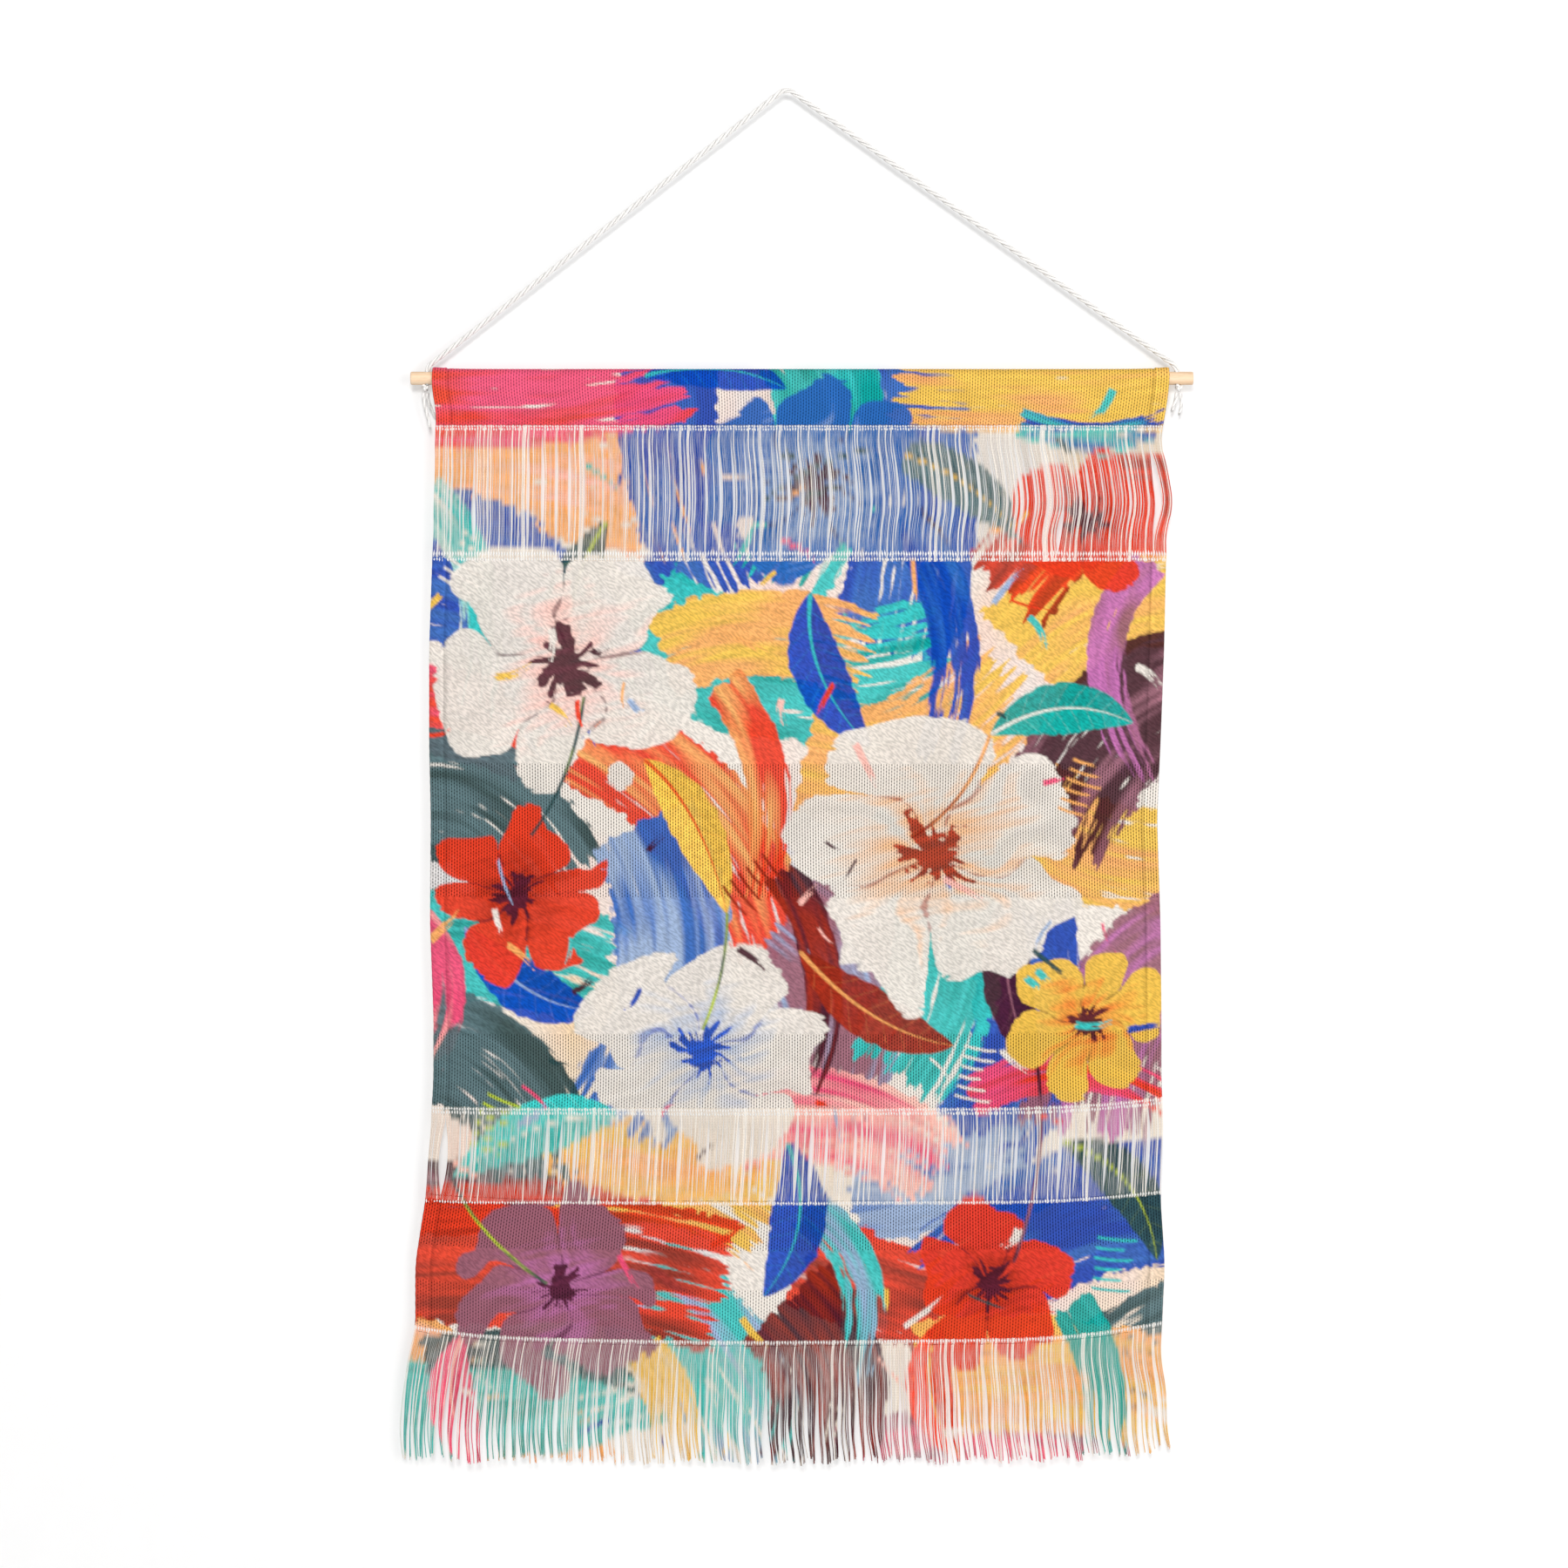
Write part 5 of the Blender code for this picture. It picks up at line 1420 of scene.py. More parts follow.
@dataclass
class Dowel:
    """The round wooden rod with an upright hole near each end."""

    shop: Workshop
    radius: float = 0.0055
    length: float = 0.655
    shift: float = 0.0126
    drop: float = 0.2411
    edge_round: float = 0.0010
    hole_radius: float = 0.0026
    holes: tuple[float, float] = (-0.3013, 0.3265)
    sides: int = 72
    straight_rings: int = 30
    cap_rings: Point3 = (0.0006, 0.0020, 0.0035)
    cutter_sides: int = 28
    sharp_from: float = math.radians(38)

    def build(self) -> None:
        """Turns the rod, drills it and puts it in place."""
        finish = WoodFinish("sanded_wood", 0.48, 0.0, 0.00005, 0.35).material(self.shop.groups)
        profile = self._profile()
        angle = np.arange(self.sides + 1) * 2 * math.pi / self.sides
        grid = np.empty((len(profile), self.sides + 1, 3))
        grid[..., 0] = profile[:, 0][:, None]
        grid[..., 1] = profile[:, 1][:, None] * np.sin(angle)
        grid[..., 2] = profile[:, 1][:, None] * np.cos(angle) - self.drop
        parts = MeshParts()
        parts.add_points(grid[:, :-1], Ink.PEACH.light)
        rows = len(profile) - 1
        grid = np.meshgrid(np.arange(rows), np.arange(self.sides), indexing="ij")
        ring, side = (one.ravel() for one in grid)
        faces, places = [], []
        for ring_step, side_step in ((0, 0), (1, 0), (1, 1), (0, 1)):
            faces.append((ring + ring_step) * self.sides + (side + side_step) % self.sides)
            places.append(np.stack(((ring + ring_step) / rows, (side + side_step) / self.sides), axis=-1))
        place = np.stack(places, 1)
        parts.add_faces(np.stack(faces, 1), place, place * MAP_WIDTH + MAP_EDGE)
        round_map = 0.004 + 0.003 * np.stack((np.cos(angle[:-1]), np.sin(angle[:-1])), axis=-1)[None]
        for row, order in ((0, 1), (rows, -1)):
            cap = (row * self.sides + np.arange(self.sides))[None, ::order]
            parts.add_faces(cap, round_map, round_map)
        rod = parts.make("dowel_rod", finish)
        for hole in self.holes:
            self._drill(rod, hole)
        rod.data.set_sharp_from_angle(angle=self.sharp_from)
        self.shop.finish_piece(rod, "wood", "dowel")

    def _profile(self) -> np.ndarray:
        """Returns x and radius along the rod, with rounded ends."""
        half = self.length / 2
        turn = np.linspace(0, math.pi / 2, 6)
        corner = np.stack((half - self.edge_round * (1 - np.sin(math.pi / 2 - turn)),
                           self.radius - self.edge_round * (1 - np.sin(turn))), axis=1)[::-1]
        face = np.array([(half, radius) for radius in self.cap_rings])
        along = np.linspace(0, half - 1.5 * self.edge_round, self.straight_rings)
        straight = np.stack((along, np.full(self.straight_rings, self.radius)), axis=1)
        right = np.vstack((straight, corner, face[::-1]))
        left = right[::-1].copy()
        left[:, 0] *= -1
        whole = np.vstack((left[:-1], right))
        whole[:, 0] += self.shift
        return whole

    def _drill(self, rod: bpy.types.Object, x: float) -> None:
        """Cuts one upright hole and keeps the result in the rod's mesh."""
        path = np.array([[(x, 0.0, -self.drop + up) for up in (-0.02, 0.0, 0.02)]])
        tube = tube_parts(path, self.hole_radius, self.cutter_sides, Ink.PEACH.light)
        cutter = tube.make("drill", rod.data.materials[0])
        cut = rod.modifiers.new("hole", "BOOLEAN")
        cut.operation = "DIFFERENCE"
        cut.solver = "EXACT"
        cut.object = cutter
        depsgraph = bpy.context.evaluated_depsgraph_get()
        drilled = bpy.data.meshes.new_from_object(rod.evaluated_get(depsgraph))
        rod.modifiers.clear()
        rod.data = drilled
        bpy.data.objects.remove(cutter)


@dataclass
class WovenCloth:
    """The closely woven stretches: header pocket, main panel and lower panel."""

    shop: Workshop
    front: float = 0.00085
    back: float = 0.00075
    groove: float = 0.00026
    dot: float = 0.00012
    crepe_lift: float = 0.00020
    hem_lift: float = 0.00022
    hem_fold: float = 0.00022
    hem_crease: float = 0.00038
    hem_round: tuple[float, float] = (0.00055, 0.00012)
    header_half: float = 0.00080
    open_edge: float = 0.00076
    pocket_radius: float = 0.0070
    pocket_layer: float = 0.0012
    pocket_drop: float = 0.2411
    pocket_back_end: float = 0.2760
    ear_rise: float = 0.0015
    ear_width: float = 0.014
    header_rows: tuple[int, int, int] = (24, 15, 30)
    bands: tuple[tuple[str, Line, Line, int, Weave, str, str, float], ...] = (
        ("main_crepe_top", MAIN_TOP, FIRST_RIB, 135, Weave.CREPE, "panel_cloth", "main_panel", 0.1694),
        ("main_rib_top", FIRST_RIB, SECOND_CREPE, 81, Weave.RIB, "panel_cloth", "main_panel", 0.1117),
        ("main_crepe_low", SECOND_CREPE, SECOND_RIB, 90, Weave.CREPE, "panel_cloth", "main_panel", 0.1146),
        ("main_rib_low", SECOND_RIB, MAIN_END, 45, Weave.RIB, "panel_cloth", "main_panel", 0.0620),
        ("lower_rib", LOWER_PANEL_TOP, THIRD_CREPE, 27, Weave.RIB, "lower_cloth", "lower_panel", 0.0379),
        ("lower_crepe", THIRD_CREPE, LAST_RIB, 24, Weave.CREPE, "lower_cloth", "lower_panel", 0.0329),
        ("lower_basket", LAST_RIB, LOWER_PANEL_END, 30, Weave.BASKET, "lower_cloth", "lower_panel", 0.0423),
    )

    def build(self) -> dict[str, bpy.types.Object]:
        """Makes every stretch and returns the pieces by name."""
        groups = self.shop.groups
        self._finishes = {
            Weave.CREPE: ClothFinish("crepe_cloth", 0.9, 0.0, 0.00016, weave=Weave.CREPE,
                                     fleck_depth=0.27).material(groups),
            Weave.RIB: ClothFinish("rib_cloth", 0.9, 0.0, 0.00016, weave=Weave.RIB, dot_depth=0.88,
                                   groove_depth=0.28, ridge_light=0.06).material(groups),
            Weave.BASKET: ClothFinish("basket_cloth", 0.9, 0.0, 0.00016, weave=Weave.BASKET, dot_depth=0.78,
                                      groove_depth=0.20, ridge_light=0.08).material(groups),
        }
        made = {"header_cloth": self._header()}
        for name, top, low, rows, weave, slot, node, length in self.bands:
            across = np.arange(COLUMNS + 1) / COLUMNS
            share = np.linspace(0, 1, rows + 1)[:, None]
            drop = self.shop.form.line(top, across) * (1 - share) + self.shop.form.line(low, across) * share
            middle = self.shop.form.place(across, drop)
            lift = self.front + self._relief(rows, weave) + self.shop.form.crease_height(middle[..., 0], drop)
            if top in OPEN_TOPS:
                lift[0] = self.open_edge
            if low in OPEN_ENDS:
                lift[-1] = self.open_edge
            # The hem's fold gets painted highlight and the crease beside it painted shade.
            inks = self._front_inks(middle[..., 0], drop) * self._hem_painted_shading()[:, None]
            parts = sheet_parts(middle, lift, self.back, inks, self._back_inks(inks))
            piece = self.shop.finish_piece(parts.make(name, self._finishes[weave]), slot, node)
            made[name] = piece
        return made

    def _front_inks(self, x: np.ndarray, drop: np.ndarray) -> np.ndarray:
        """Returns the print at each point, with a little unevenness of the inking."""
        fade = 0.96 + 0.07 * lattice_noise(x / 0.0031, drop / 0.0023, 71)
        return self.shop.design.sample(x, drop) * fade[..., None]

    @staticmethod
    def _back_inks(inks: np.ndarray) -> np.ndarray:
        """Returns the plain back, with a faint show-through of the print."""
        return Ink.CREAM.light * 0.80 + inks * 0.17

    def _relief(self, rows: int, weave: Weave) -> np.ndarray:
        """Raises the weave out of the front face.

        Args:
            rows: Rows of the grid.
            weave: How the stretch is woven.

        Returns:
            Lift of each point of the grid.
        """
        column = np.arange(COLUMNS + 1)[None, :]
        row = np.arange(rows + 1)[:, None]
        if weave is Weave.CREPE:
            along = column * math.cos(CREPE_SLANT) + row * math.sin(CREPE_SLANT)
            aside = row * math.cos(CREPE_SLANT) - column * math.sin(CREPE_SLANT)
            grain = lattice_noise(along / 4.0, aside / 1.5, 17)
            broad = lattice_noise(along / 12.0, aside / 4.5, 19)
            lift = self.crepe_lift * (grain - 0.5) * 2 + 0.00030 * (broad - 0.5)
        else:
            deep = self.groove if weave is Weave.RIB else self.groove * 0.75
            hole = (row + column // 2) % 2 == 0
            lift = np.where(column % 2 == 0, -deep - self.dot * hole, 0.00006 + 0.00005 * ~hole)
        from_side = np.minimum(column, COLUMNS - column) + 0 * row
        hem = self.hem_lift + 0.00005 * uneven(row + 0 * column)
        edge_low, next_low = self.hem_round
        past_hem = from_side - HEM_COLUMNS
        lift = np.where(past_hem <= 0, hem + 0.3 * lift, lift)
        lift = np.where((past_hem == -1) | (past_hem == 0), hem + self.hem_fold, lift)
        lift = np.where((past_hem == 1) | (past_hem == 2), -self.hem_crease, lift)
        lift = np.where(from_side == 1, hem - next_low, lift)
        return np.where(from_side == 0, -edge_low, lift)

    @staticmethod
    def _hem_painted_shading() -> np.ndarray:
        """Returns a painted highlight and painted shade for each column: the print is made lighter on the
        hem's fold and darker in the crease beside it.
        """
        column = np.arange(COLUMNS + 1)
        from_side = np.minimum(column, COLUMNS - column) - HEM_COLUMNS
        steps = (1 - HEM_COLUMNS, -3, -1, 0, 1, 2, 4)
        return np.interp(from_side, steps, (1.0, 1.0, 1.10, 1.06, 0.72, 0.84, 1.0))

    def _header(self) -> bpy.types.Object:
        """Folds the header over the dowel, from its hidden back edge to the seam in front."""
        rows_back, rows_arc, rows_front = self.header_rows
        layer, radius = self.pocket_layer, self.pocket_radius
        back_share = np.linspace(0, 1, rows_back + 1)
        turn = np.linspace(0, math.pi, rows_arc + 1)[1:]
        front_share = np.linspace(1, 0, rows_front + 1)[1:]
        pull_back = layer + (radius - layer) * np.sin(back_share * math.pi / 2)
        pull_front = -layer - (radius - layer) * np.sin(front_share * math.pi / 2)
        y = np.concatenate((pull_back, radius * np.cos(turn), pull_front))
        back_drop = self.pocket_back_end + (self.pocket_drop - self.pocket_back_end) * back_share
        front_drop = HEADER_SEAM.drop + (self.pocket_drop - HEADER_SEAM.drop) * front_share
        drop = np.concatenate((back_drop, self.pocket_drop - radius * np.sin(turn), front_drop))
        ear = np.concatenate((np.zeros(rows_back + 1), np.sin(turn), np.zeros(rows_front)))
        run = reach_along(np.stack((y, drop), axis=-1))
        print_drop = HEADER_SEAM.drop - (run[-1] - run)
        across = np.arange(COLUMNS + 1) / COLUMNS
        wide = drop[:, None] + 0 * across
        left, right = self.shop.form.left(wide), self.shop.form.right(wide)
        x = left + across * (right - left)
        lifted = self.ear_rise * np.exp(-np.minimum(x - left, right - x) / self.ear_width) * ear[:, None]
        middle = np.stack((x, y[:, None] + 0 * x, lifted - wide), axis=-1)
        rows = sum(self.header_rows)
        seam_rows, flattest = 4.0, 0.35
        flatter = np.clip((rows - np.arange(rows + 1)) / seam_rows, flattest, 1.0)[:, None]
        lift = self.header_half + self._relief(rows, Weave.BASKET) * flatter
        lift[-1] = self.open_edge
        # The hem's fold gets painted highlight and the crease beside it painted shade.
        inks = self._front_inks(x, print_drop[:, None] + 0 * x) * self._hem_painted_shading()[:, None]
        parts = sheet_parts(middle, lift, self.header_half, inks, self._back_inks(inks))
        piece = parts.make("header_cloth", self._finishes[Weave.BASKET])
        return self.shop.finish_piece(piece, "header_cloth", "header_pocket")


@dataclass
class YarnBand:
    """One stretch of free warp yarns, bound at its ends by rows of white picks."""

    name: str
    top: Line
    open_top: Line
    open_low: Line
    low: Line
    segments: int
    locks: int
    open_share: float
    slot: str
    node: str
    loose_end: bool = False
    slits: tuple[tuple[float, float, float, float], ...] = ()
    pick_rows: tuple[tuple[float, float], ...] = ()
    thread_rows: tuple[float, ...] = ()
    seed: int = 5
    radius: float = 0.00053
    white_share: float = 0.18
    # Painted light: brighter lifts the yarns' colours to make up for the shade of their round shape and the
    # gaps between them.
    brighter: float = 1.10
    warmth: Point3 = (1.05, 1.0, 0.93)
    tuck: float = 0.0004
    forward: float = 0.00045
    bunches: tuple[int, int] = (2, 7)
    bound_share: float = 1 / 12
    bound_swell: float = 0.00007
    map_columns: int = 135
    pick_size: Point2 = (0.00078, 0.00030)
    pick_forward: float = 0.00106
    pick_overlap: float = 0.56
    pick_map: tuple[int, int] = (90, 24)
    thread_radius: float = 0.00024
    thread_forward: float = 0.00062
    thread_wave: float = 0.00022

    def build(self, shop: Workshop, yarn: bpy.types.Material,
              picks: bpy.types.Material) -> list[bpy.types.Object]:
        """Makes the yarns, the picks and the binding threads.

        Args:
            shop: What the sub-assemblies share.
            yarn: Finish of the yarns.
            picks: Finish of the picks and binding threads.

        Returns:
            The new pieces.
        """
        self.shop = shop
        paths, radii, inks = self._yarns()
        parts = tube_parts(paths, radii, 3, inks, per_row=self.map_columns, twist=0.0022, turn=-math.pi / 2)
        made = [shop.finish_piece(parts.make(f"{self.name}_yarns", yarn), self.slot, self.node)]
        rows = self._picks().make(f"{self.name}_picks", picks, smooth=False)
        made.append(shop.finish_piece(rows, self.slot))
        if self.thread_rows:
            made.append(shop.finish_piece(self._threads().make(f"{self.name}_threads", picks), self.slot))
        return made

    def _groups(self) -> tuple[np.ndarray, np.ndarray]:
        """Returns the middle of the small bunch that each yarn falls into, and how far it is drawn there."""
        low, high = self.bunches
        random = np.random.default_rng(self.seed + 50)
        middles = np.empty(COLUMNS)
        pulls = np.empty(COLUMNS)
        first = 0
        while first < COLUMNS:
            size = min(int(random.integers(low, high + 1)), COLUMNS - first)
            middles[first:first + size] = (first + size / 2) / COLUMNS + random.normal(0, 0.0006)
            pulls[first:first + size] = random.uniform(0.45, 1.25)
            first += size
        return middles[:, None], pulls[:, None]

    def _yarns(self) -> tuple[np.ndarray, np.ndarray, np.ndarray]:
        """Lays every yarn.

        Returns:
            Centre points by yarn and ring, radii and colours that go with them.
        """
        form = self.shop.form
        random = np.random.default_rng(self.seed)
        number = np.arange(COLUMNS)
        across = ((number + 0.5) / COLUMNS)[:, None]
        lock = np.floor(across * self.locks)
        lock_middle = (lock + 0.5) / self.locks
        open_top, open_low = form.line(self.open_top, across), form.line(self.open_low, across)
        top = form.line(self.top, across) - self.tuck
        low = form.line(self.low, across) + (0 if self.loose_end else self.tuck)
        if self.loose_end:
            low = low + 0.0026 * uneven(lock + 3) + random.uniform(-0.0024, 0.0012, (COLUMNS, 1))
            open_low = low
        share = np.linspace(0, 1, self.segments + 1)[None, :]
        drop = top * (1 - share) + low * share
        free = np.clip((drop - open_top) / (open_low - open_top), 0, 1)
        bunch, drawn = self._groups()
        if self.loose_end:
            pull = free**2
            gather = self.open_share * (1 + 0.8 * uneven(lock)) * pull
            pulled = across + (lock_middle - across) * gather + (bunch - across) * 0.62 * drawn * free**1.2
            sway = free * 0.0011 * uneven(lock) + 0.0009 * pull * np.sin(free * 7 + 9 * bunch * 40)
            sway = sway + free**1.5 * random.normal(0, 0.00055, (COLUMNS, 1))
            back = free * 0.0009 * uneven(lock + 11) + pull * random.normal(0, 0.00045, (COLUMNS, 1))
            thin = 1 - 0.22 * pull
        else:
            pull = np.sin(math.pi * free) ** 0.8
            gather = self.open_share * (1.0 + 0.7 * uneven(lock + 2)) * pull
            pulled = across + (lock_middle - across) * gather + (bunch - across) * 0.15 * drawn * pull
            sway = pull * (0.0005 * uneven(lock) + random.normal(0, 0.00016, (COLUMNS, 1)))
            back = pull * (0.0005 * uneven(lock + 7) + random.normal(0, 0.00018, (COLUMNS, 1)))
            thin = 1 - 0.06 * pull
        x = form.left(drop) + pulled * (form.right(drop) - form.left(drop))
        sway = sway + self._slit_push(x, drop)
        paths = form.place(pulled, drop, sway, back - self.forward)
        bound = np.clip(1 - free / self.bound_share, 0, 1)
        if not self.loose_end:
            bound = bound + np.clip(1 - (1 - free) / self.bound_share, 0, 1)
        radii = self.radius * thin + self.bound_swell * bound
        printed = self.shop.design.sample(paths[..., 0], drop)
        undyed = random.random((COLUMNS, 1)) < self.white_share
        plain = np.where(undyed, 0.74, 0.05) + random.normal(0, 0.05, (COLUMNS, 1))
        speck = lattice_noise(number[:, None] * 1.7 + 0 * drop, drop / 0.006, self.seed + 9)
        plain = np.clip(plain + 0.26 * (speck - 0.5), 0.0, 0.92)[..., None]
        inks = (printed * (1 - plain) + Ink.WHITE.light * plain) * self.warmth
        # Painted light: the colours are lifted, a little more on the bound ends, against the shade of the
        # tubes and picks there.
        return paths, radii[..., None], inks * (self.brighter + 0.06 * bound)[..., None]

    def _slit_push(self, x: np.ndarray, drop: np.ndarray) -> np.ndarray:
        """Returns how far each place is pushed aside by the slits between the yarns."""
        push = np.zeros_like(x)
        for middle, wide, top, low in self.slits:
            share = np.clip((drop - top) / (low - top), 0, 1)
            ring = np.argmin(np.abs(drop - (top + low) / 2), axis=1)[:, None]
            away = np.take_along_axis(x, ring, axis=1) - middle
            push += np.copysign(wide / 2 * np.sin(math.pi * share) * np.exp(-np.abs(away) / 0.012), away)
        return push

    def _picks(self) -> MeshParts:
        """Lays the rows of short white picks over the bound ends."""
        form = self.shop.form
        number = np.arange(COLUMNS // 2)
        corners = np.array(((0, 0, 1), (0, 0, -1), (1, 0, 0), (-1, 0, 0), (0, 1, 0), (0, -1, 0)), float)
        faces = np.array((
            (2, 5, 0), (4, 2, 0), (3, 4, 0), (5, 3, 0), (5, 2, 1), (2, 4, 1), (4, 3, 1), (3, 5, 1),
        ))
        corner = np.array(((0.1, 0.1), (0.9, 0.1), (0.5, 0.9)))
        map_columns, map_rows = self.pick_map
        parts = MeshParts()
        for row, (middle_drop, height) in enumerate(self.pick_rows):
            across = (2 * number + 1 + 0.5 * (row % 2)) / COLUMNS
            base = form.line(Line(middle_drop, self.top.left, self.top.right), across)
            base = base + 0.0003 * uneven(number + 7 * row)
            middle = form.place(np.clip(across, 0.002, 0.998), base, 0.0, -self.pick_forward)
            half = np.empty((len(number), 6, 3))
            half[:] = corners * (*self.pick_size, 1.0)
            half[:, :, 2] *= (height * self.pick_overlap * (1 + 0.22 * uneven(number + 31 * row)))[:, None]
            half[:, :, 0] += half[:, :, 2] * (0.10 * uneven(number + 5 * row))[:, None]
            stained = self.shop.design.sample(middle[:, 0], base)[:, None]
            stain = (0.13 + 0.11 * uneven(number + row))[:, None, None]
            shade = Ink.WHITE.light * (1 - stain) + stained * stain
            first = parts.add_points(middle[:, None] + half, shade)
            triangles = (faces[None] + 6 * number[:, None, None]).reshape(-1, 3) + first
            cell = np.arange(len(triangles))
            grid = np.stack((cell % map_columns, cell // map_columns + row * map_rows), axis=-1)
            grid = grid[:, None] + corner
            parts.add_faces(triangles, grid, grid / (map_columns, map_rows * len(self.pick_rows)))
        return parts

    def _threads(self) -> MeshParts:
        """Runs the dark binding threads across the cloth."""
        form = self.shop.form
        across = np.linspace(0.004, 0.996, COLUMNS + 1)
        number = np.arange(COLUMNS + 1)
        beside = self.top if self.loose_end else self.low
        wave = self.thread_wave * (-1.0) ** number + 0.0002 * uneven(number // 6)
        forward = self.thread_forward + self.thread_wave * uneven(number // 2)
        runs = []
        for at in self.thread_rows:
            drop = form.line(Line(at, beside.left, beside.right), across) + wave
            runs.append(form.place(across, drop, 0.0, -forward))
        paths = np.array(runs)
        inks = self.shop.design.sample(paths[..., 0], -paths[..., 2]) * 0.50 + Ink.THREAD_DARK.light * 0.2
        return tube_parts(paths, self.thread_radius, 4, inks, twist=0.0016)


# Each slit between the yarns: its middle, its width, and the drops of its two ends.
UPPER_SLITS = (
    (0.3105, 0.0050, 0.3020, 0.3730), (-0.2619, 0.0026, 0.3370, 0.3800), (0.2277, 0.0036, 0.3500, 0.3900),
)
LOWER_SLITS = ((-0.2885, 0.0060, 0.8640, 0.9260),)
YARN_BANDS = (
    YarnBand("upper_band", HEADER_SEAM, UPPER_STRIP, UPPER_BAND_END, MAIN_TOP, 26, 54, 0.14, "upper_yarn",
             "upper_warp_band", slits=UPPER_SLITS,
             pick_rows=((0.2814, 0.0022), (0.2838, 0.0024), (0.3880, 0.0050), (0.3926, 0.0028)), seed=5),
    YarnBand("lower_band", MAIN_END, LOWER_STRIP, LOWER_BAND_END, LOWER_PANEL_TOP, 18, 50, 0.14, "lower_yarn",
             "lower_warp_band", slits=LOWER_SLITS,
             pick_rows=((0.8540, 0.0026), (0.8571, 0.0030), (0.9318, 0.0028)), thread_rows=(0.9299,), seed=6),
    YarnBand("fringe", LOWER_PANEL_END, FRINGE_STRIP, FRINGE_END, FRINGE_END, 24, 84, 0.30, "fringe_yarn",
             "hem_fringe", loose_end=True, pick_rows=((1.0482, 0.0034),), thread_rows=(1.0509,), seed=7,
             bunches=(1, 9)),
)


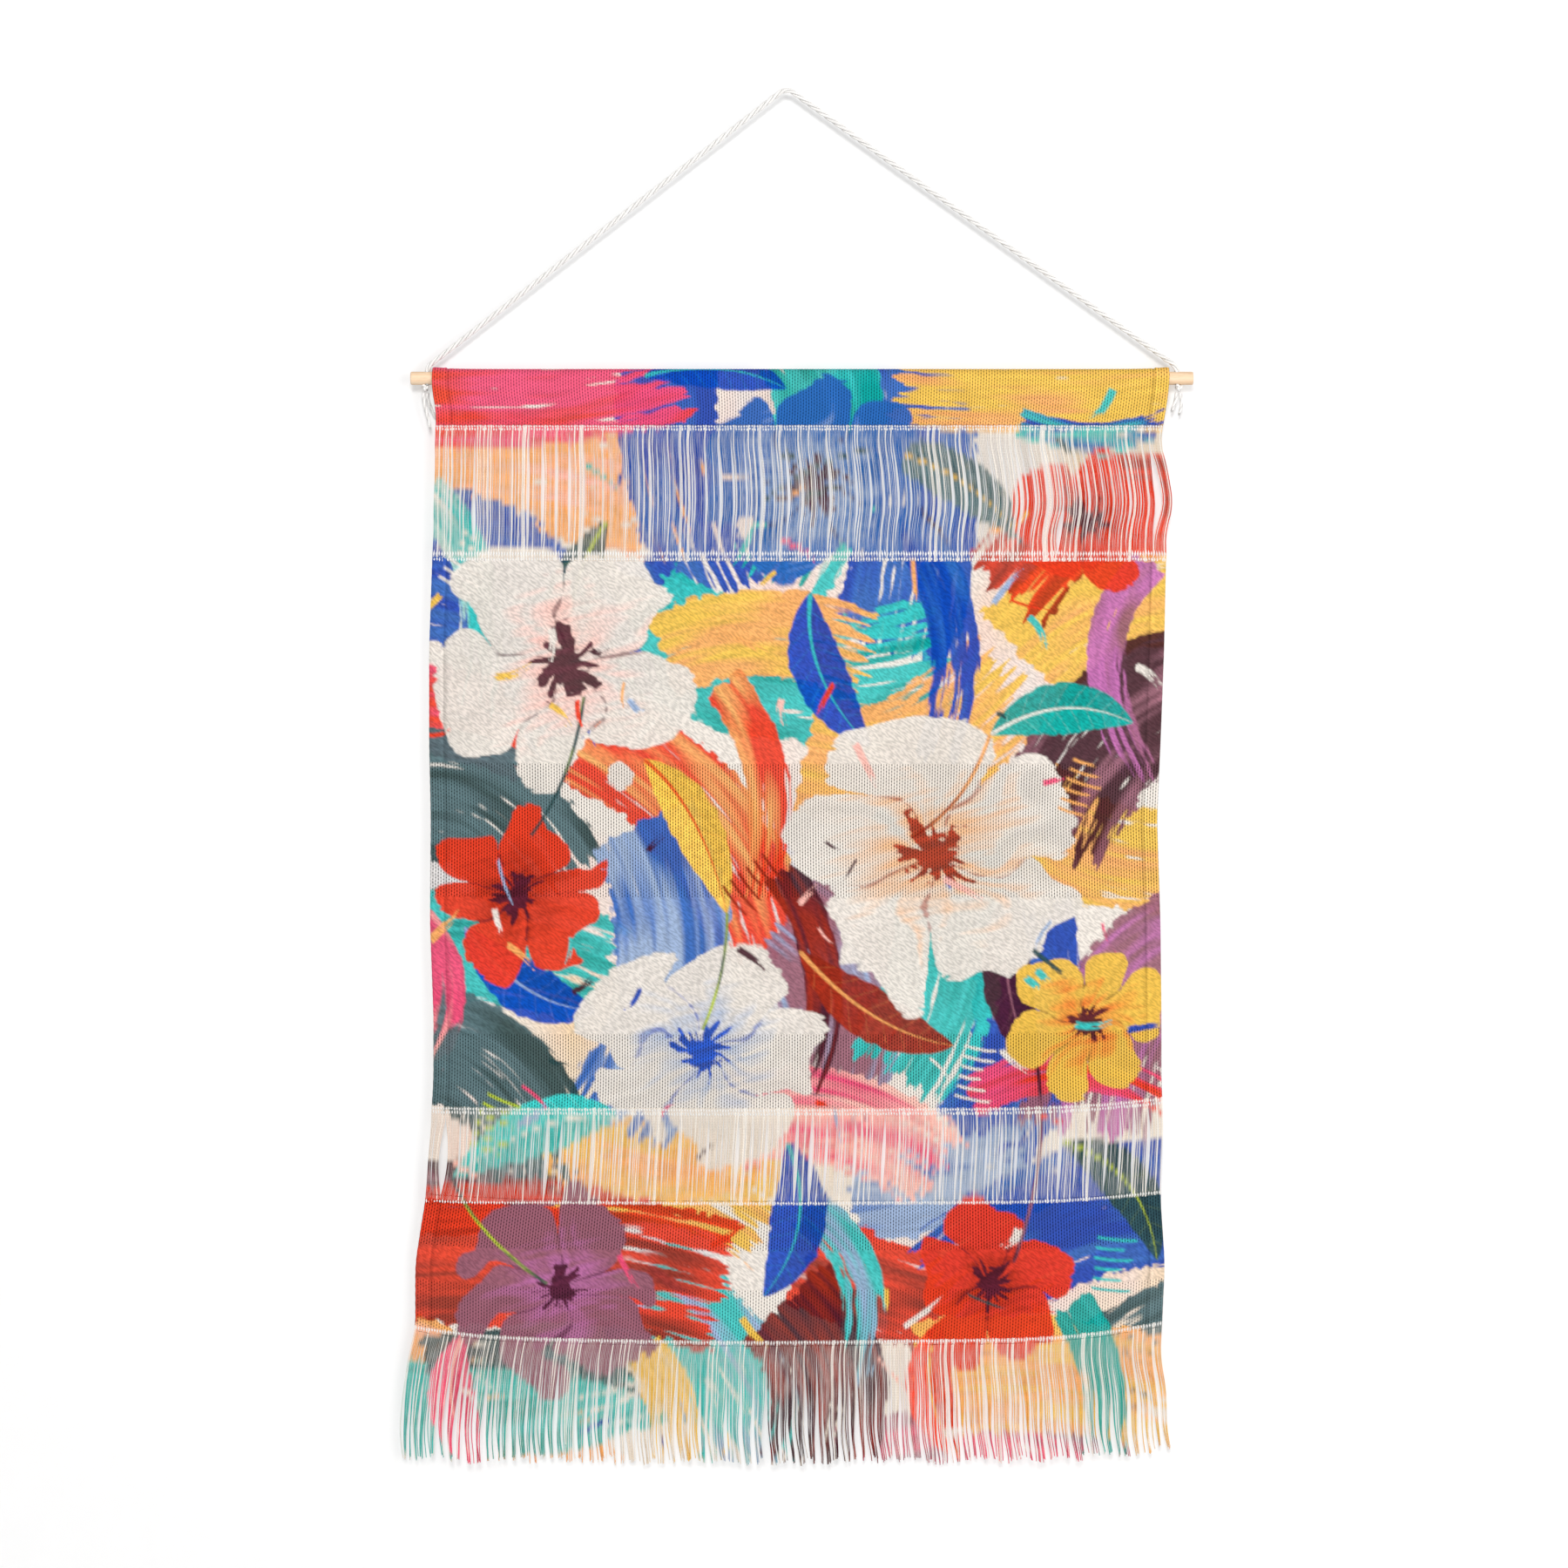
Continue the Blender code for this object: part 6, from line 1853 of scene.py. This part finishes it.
@dataclass
class Studio:
    """Camera, soft lights, white wall and pale floor."""

    eye: Point3 = (-0.0024, -3.10, -0.5808)
    lens: float = 85.0
    sensor: float = 36.0
    wall_back: float = 0.0108
    wall_reach: float = 3.0
    wall_low: float = 1.29
    wall_top: float = 1.6
    floor_drop: float = 1.30
    floor_reach: float = 4.0
    key_place: Point3 = (-0.15, -5.0, 1.7)
    key_size: float = 1.3
    key_power: float = 157.0
    fill_place: Point3 = (3.1, -3.8, 0.0)
    fill_size: float = 2.2
    fill_power: float = 70.0
    back_place: Point3 = (1.6, 3.2, 0.9)
    back_size: float = 1.6
    back_power: float = 55.0
    aim: Point3 = (0.0, 0.0, -0.58)
    sky: float = 0.34

    def camera(self) -> None:
        """Puts the camera straight in front, at the photograph's angle."""
        data = bpy.data.cameras.new("camera")
        data.lens = self.lens
        data.sensor_width = self.sensor
        data.clip_end = 50.0
        camera = bpy.data.objects.new("camera", data)
        camera.location = self.eye
        camera.rotation_euler = (math.pi / 2, 0.0, 0.0)
        bpy.context.scene.collection.objects.link(camera)
        bpy.context.scene.camera = camera

    def build(self) -> None:
        """Makes the lights, the sky, the wall and the floor."""
        scene = bpy.context.scene
        scene.view_settings.view_transform = "Standard"
        self._light("key", self.key_place, self.key_size, self.key_power)
        self._light("fill", self.fill_place, self.fill_size, self.fill_power)
        self._light("back", self.back_place, self.back_size, self.back_power)
        world = bpy.data.worlds.new("studio")
        world.use_nodes = True
        net = Net(world.node_tree)
        seen = net.node("ShaderNodeBackground")
        seen.inputs["Color"].default_value = (1.0, 1.0, 1.0, 1.0)
        lit = net.node("ShaderNodeBackground")
        lit.inputs["Color"].default_value = (1.0, 0.99, 0.98, 1.0)
        lit.inputs["Strength"].default_value = self.sky
        mixed = net.node("ShaderNodeMixShader")
        net.feed(mixed.inputs[0], net.node("ShaderNodeLightPath").outputs["Is Camera Ray"])
        net.feed(mixed.inputs[1], lit.outputs[0])
        net.feed(mixed.inputs[2], seen.outputs[0])
        net.feed(net.node("ShaderNodeOutputWorld").inputs["Surface"], mixed.outputs[0])
        scene.world = world
        wall_finish = StudioFinish("white_wall", 0.95, 0.0, 0.00002, see_through_back=True, level=0.62,
                                   glow=0.35).material()
        left, right, foot, head = -self.wall_reach, self.wall_reach, -self.wall_low, self.wall_top
        corners = ((left, 0, foot), (right, 0, foot), (right, 0, head), (left, 0, head))
        wall = self._plane("wall", corners, wall_finish)
        wall.location.y = self.wall_back
        wall.visible_diffuse = False
        wall.visible_glossy = False
        wall.visible_shadow = False
        floor_finish = StudioFinish("pale_floor", 0.85, 0.0, 0.00002, level=0.86).material()
        far, low = self.floor_reach, -self.floor_drop
        corners = ((-far, -far, low), (far, -far, low), (far, far, low), (-far, far, low))
        self._plane("floor", corners, floor_finish)

    def _light(self, name: str, place: Point3, size: float, power: float) -> None:
        """Hangs one soft square light, aimed at the middle of the cloth."""
        data = bpy.data.lights.new(name, "AREA")
        data.size = size
        data.energy = power
        light = bpy.data.objects.new(name, data)
        light.location = place
        away = unit(np.array(place) - self.aim)
        flat = math.hypot(away[0], away[1])
        light.rotation_euler = (math.atan2(flat, away[2]), 0.0, math.atan2(away[0], -away[1]))
        bpy.context.scene.collection.objects.link(light)

    @staticmethod
    def _plane(name: str, corners: Sequence[Point3], finish: bpy.types.Material) -> bpy.types.Object:
        """Makes one flat stage piece."""
        mesh = bpy.data.meshes.new(name)
        mesh.from_pydata(corners, [], [(0, 1, 2, 3)])
        mesh.materials.append(finish)
        plane = bpy.data.objects.new(name, mesh)
        bpy.context.scene.collection.objects.link(plane)
        return plane


def main() -> None:
    """Builds the wall hanging, piece by piece."""
    logging.basicConfig(level=logging.INFO, format="%(name)s %(message)s")
    studio = Studio()
    studio.camera()
    design = PrintedDesign()
    shop = Workshop(ClothForm(), design, NodeGroups())
    HangingRope(shop).build()
    Dowel(shop).build()
    design.paint()
    cloths = WovenCloth(shop).build()
    yarn = YarnFinish("printed_yarn", 0.90, 0.0, 0.00008, depth=0.18).material(shop.groups)
    picks = YarnFinish("binding_yarn", 0.88, 0.10, 0.00006).material(shop.groups)
    bands = {band.name: band.build(shop, yarn, picks) for band in YARN_BANDS}
    studio.build()


if __name__ == "__main__":
    main()
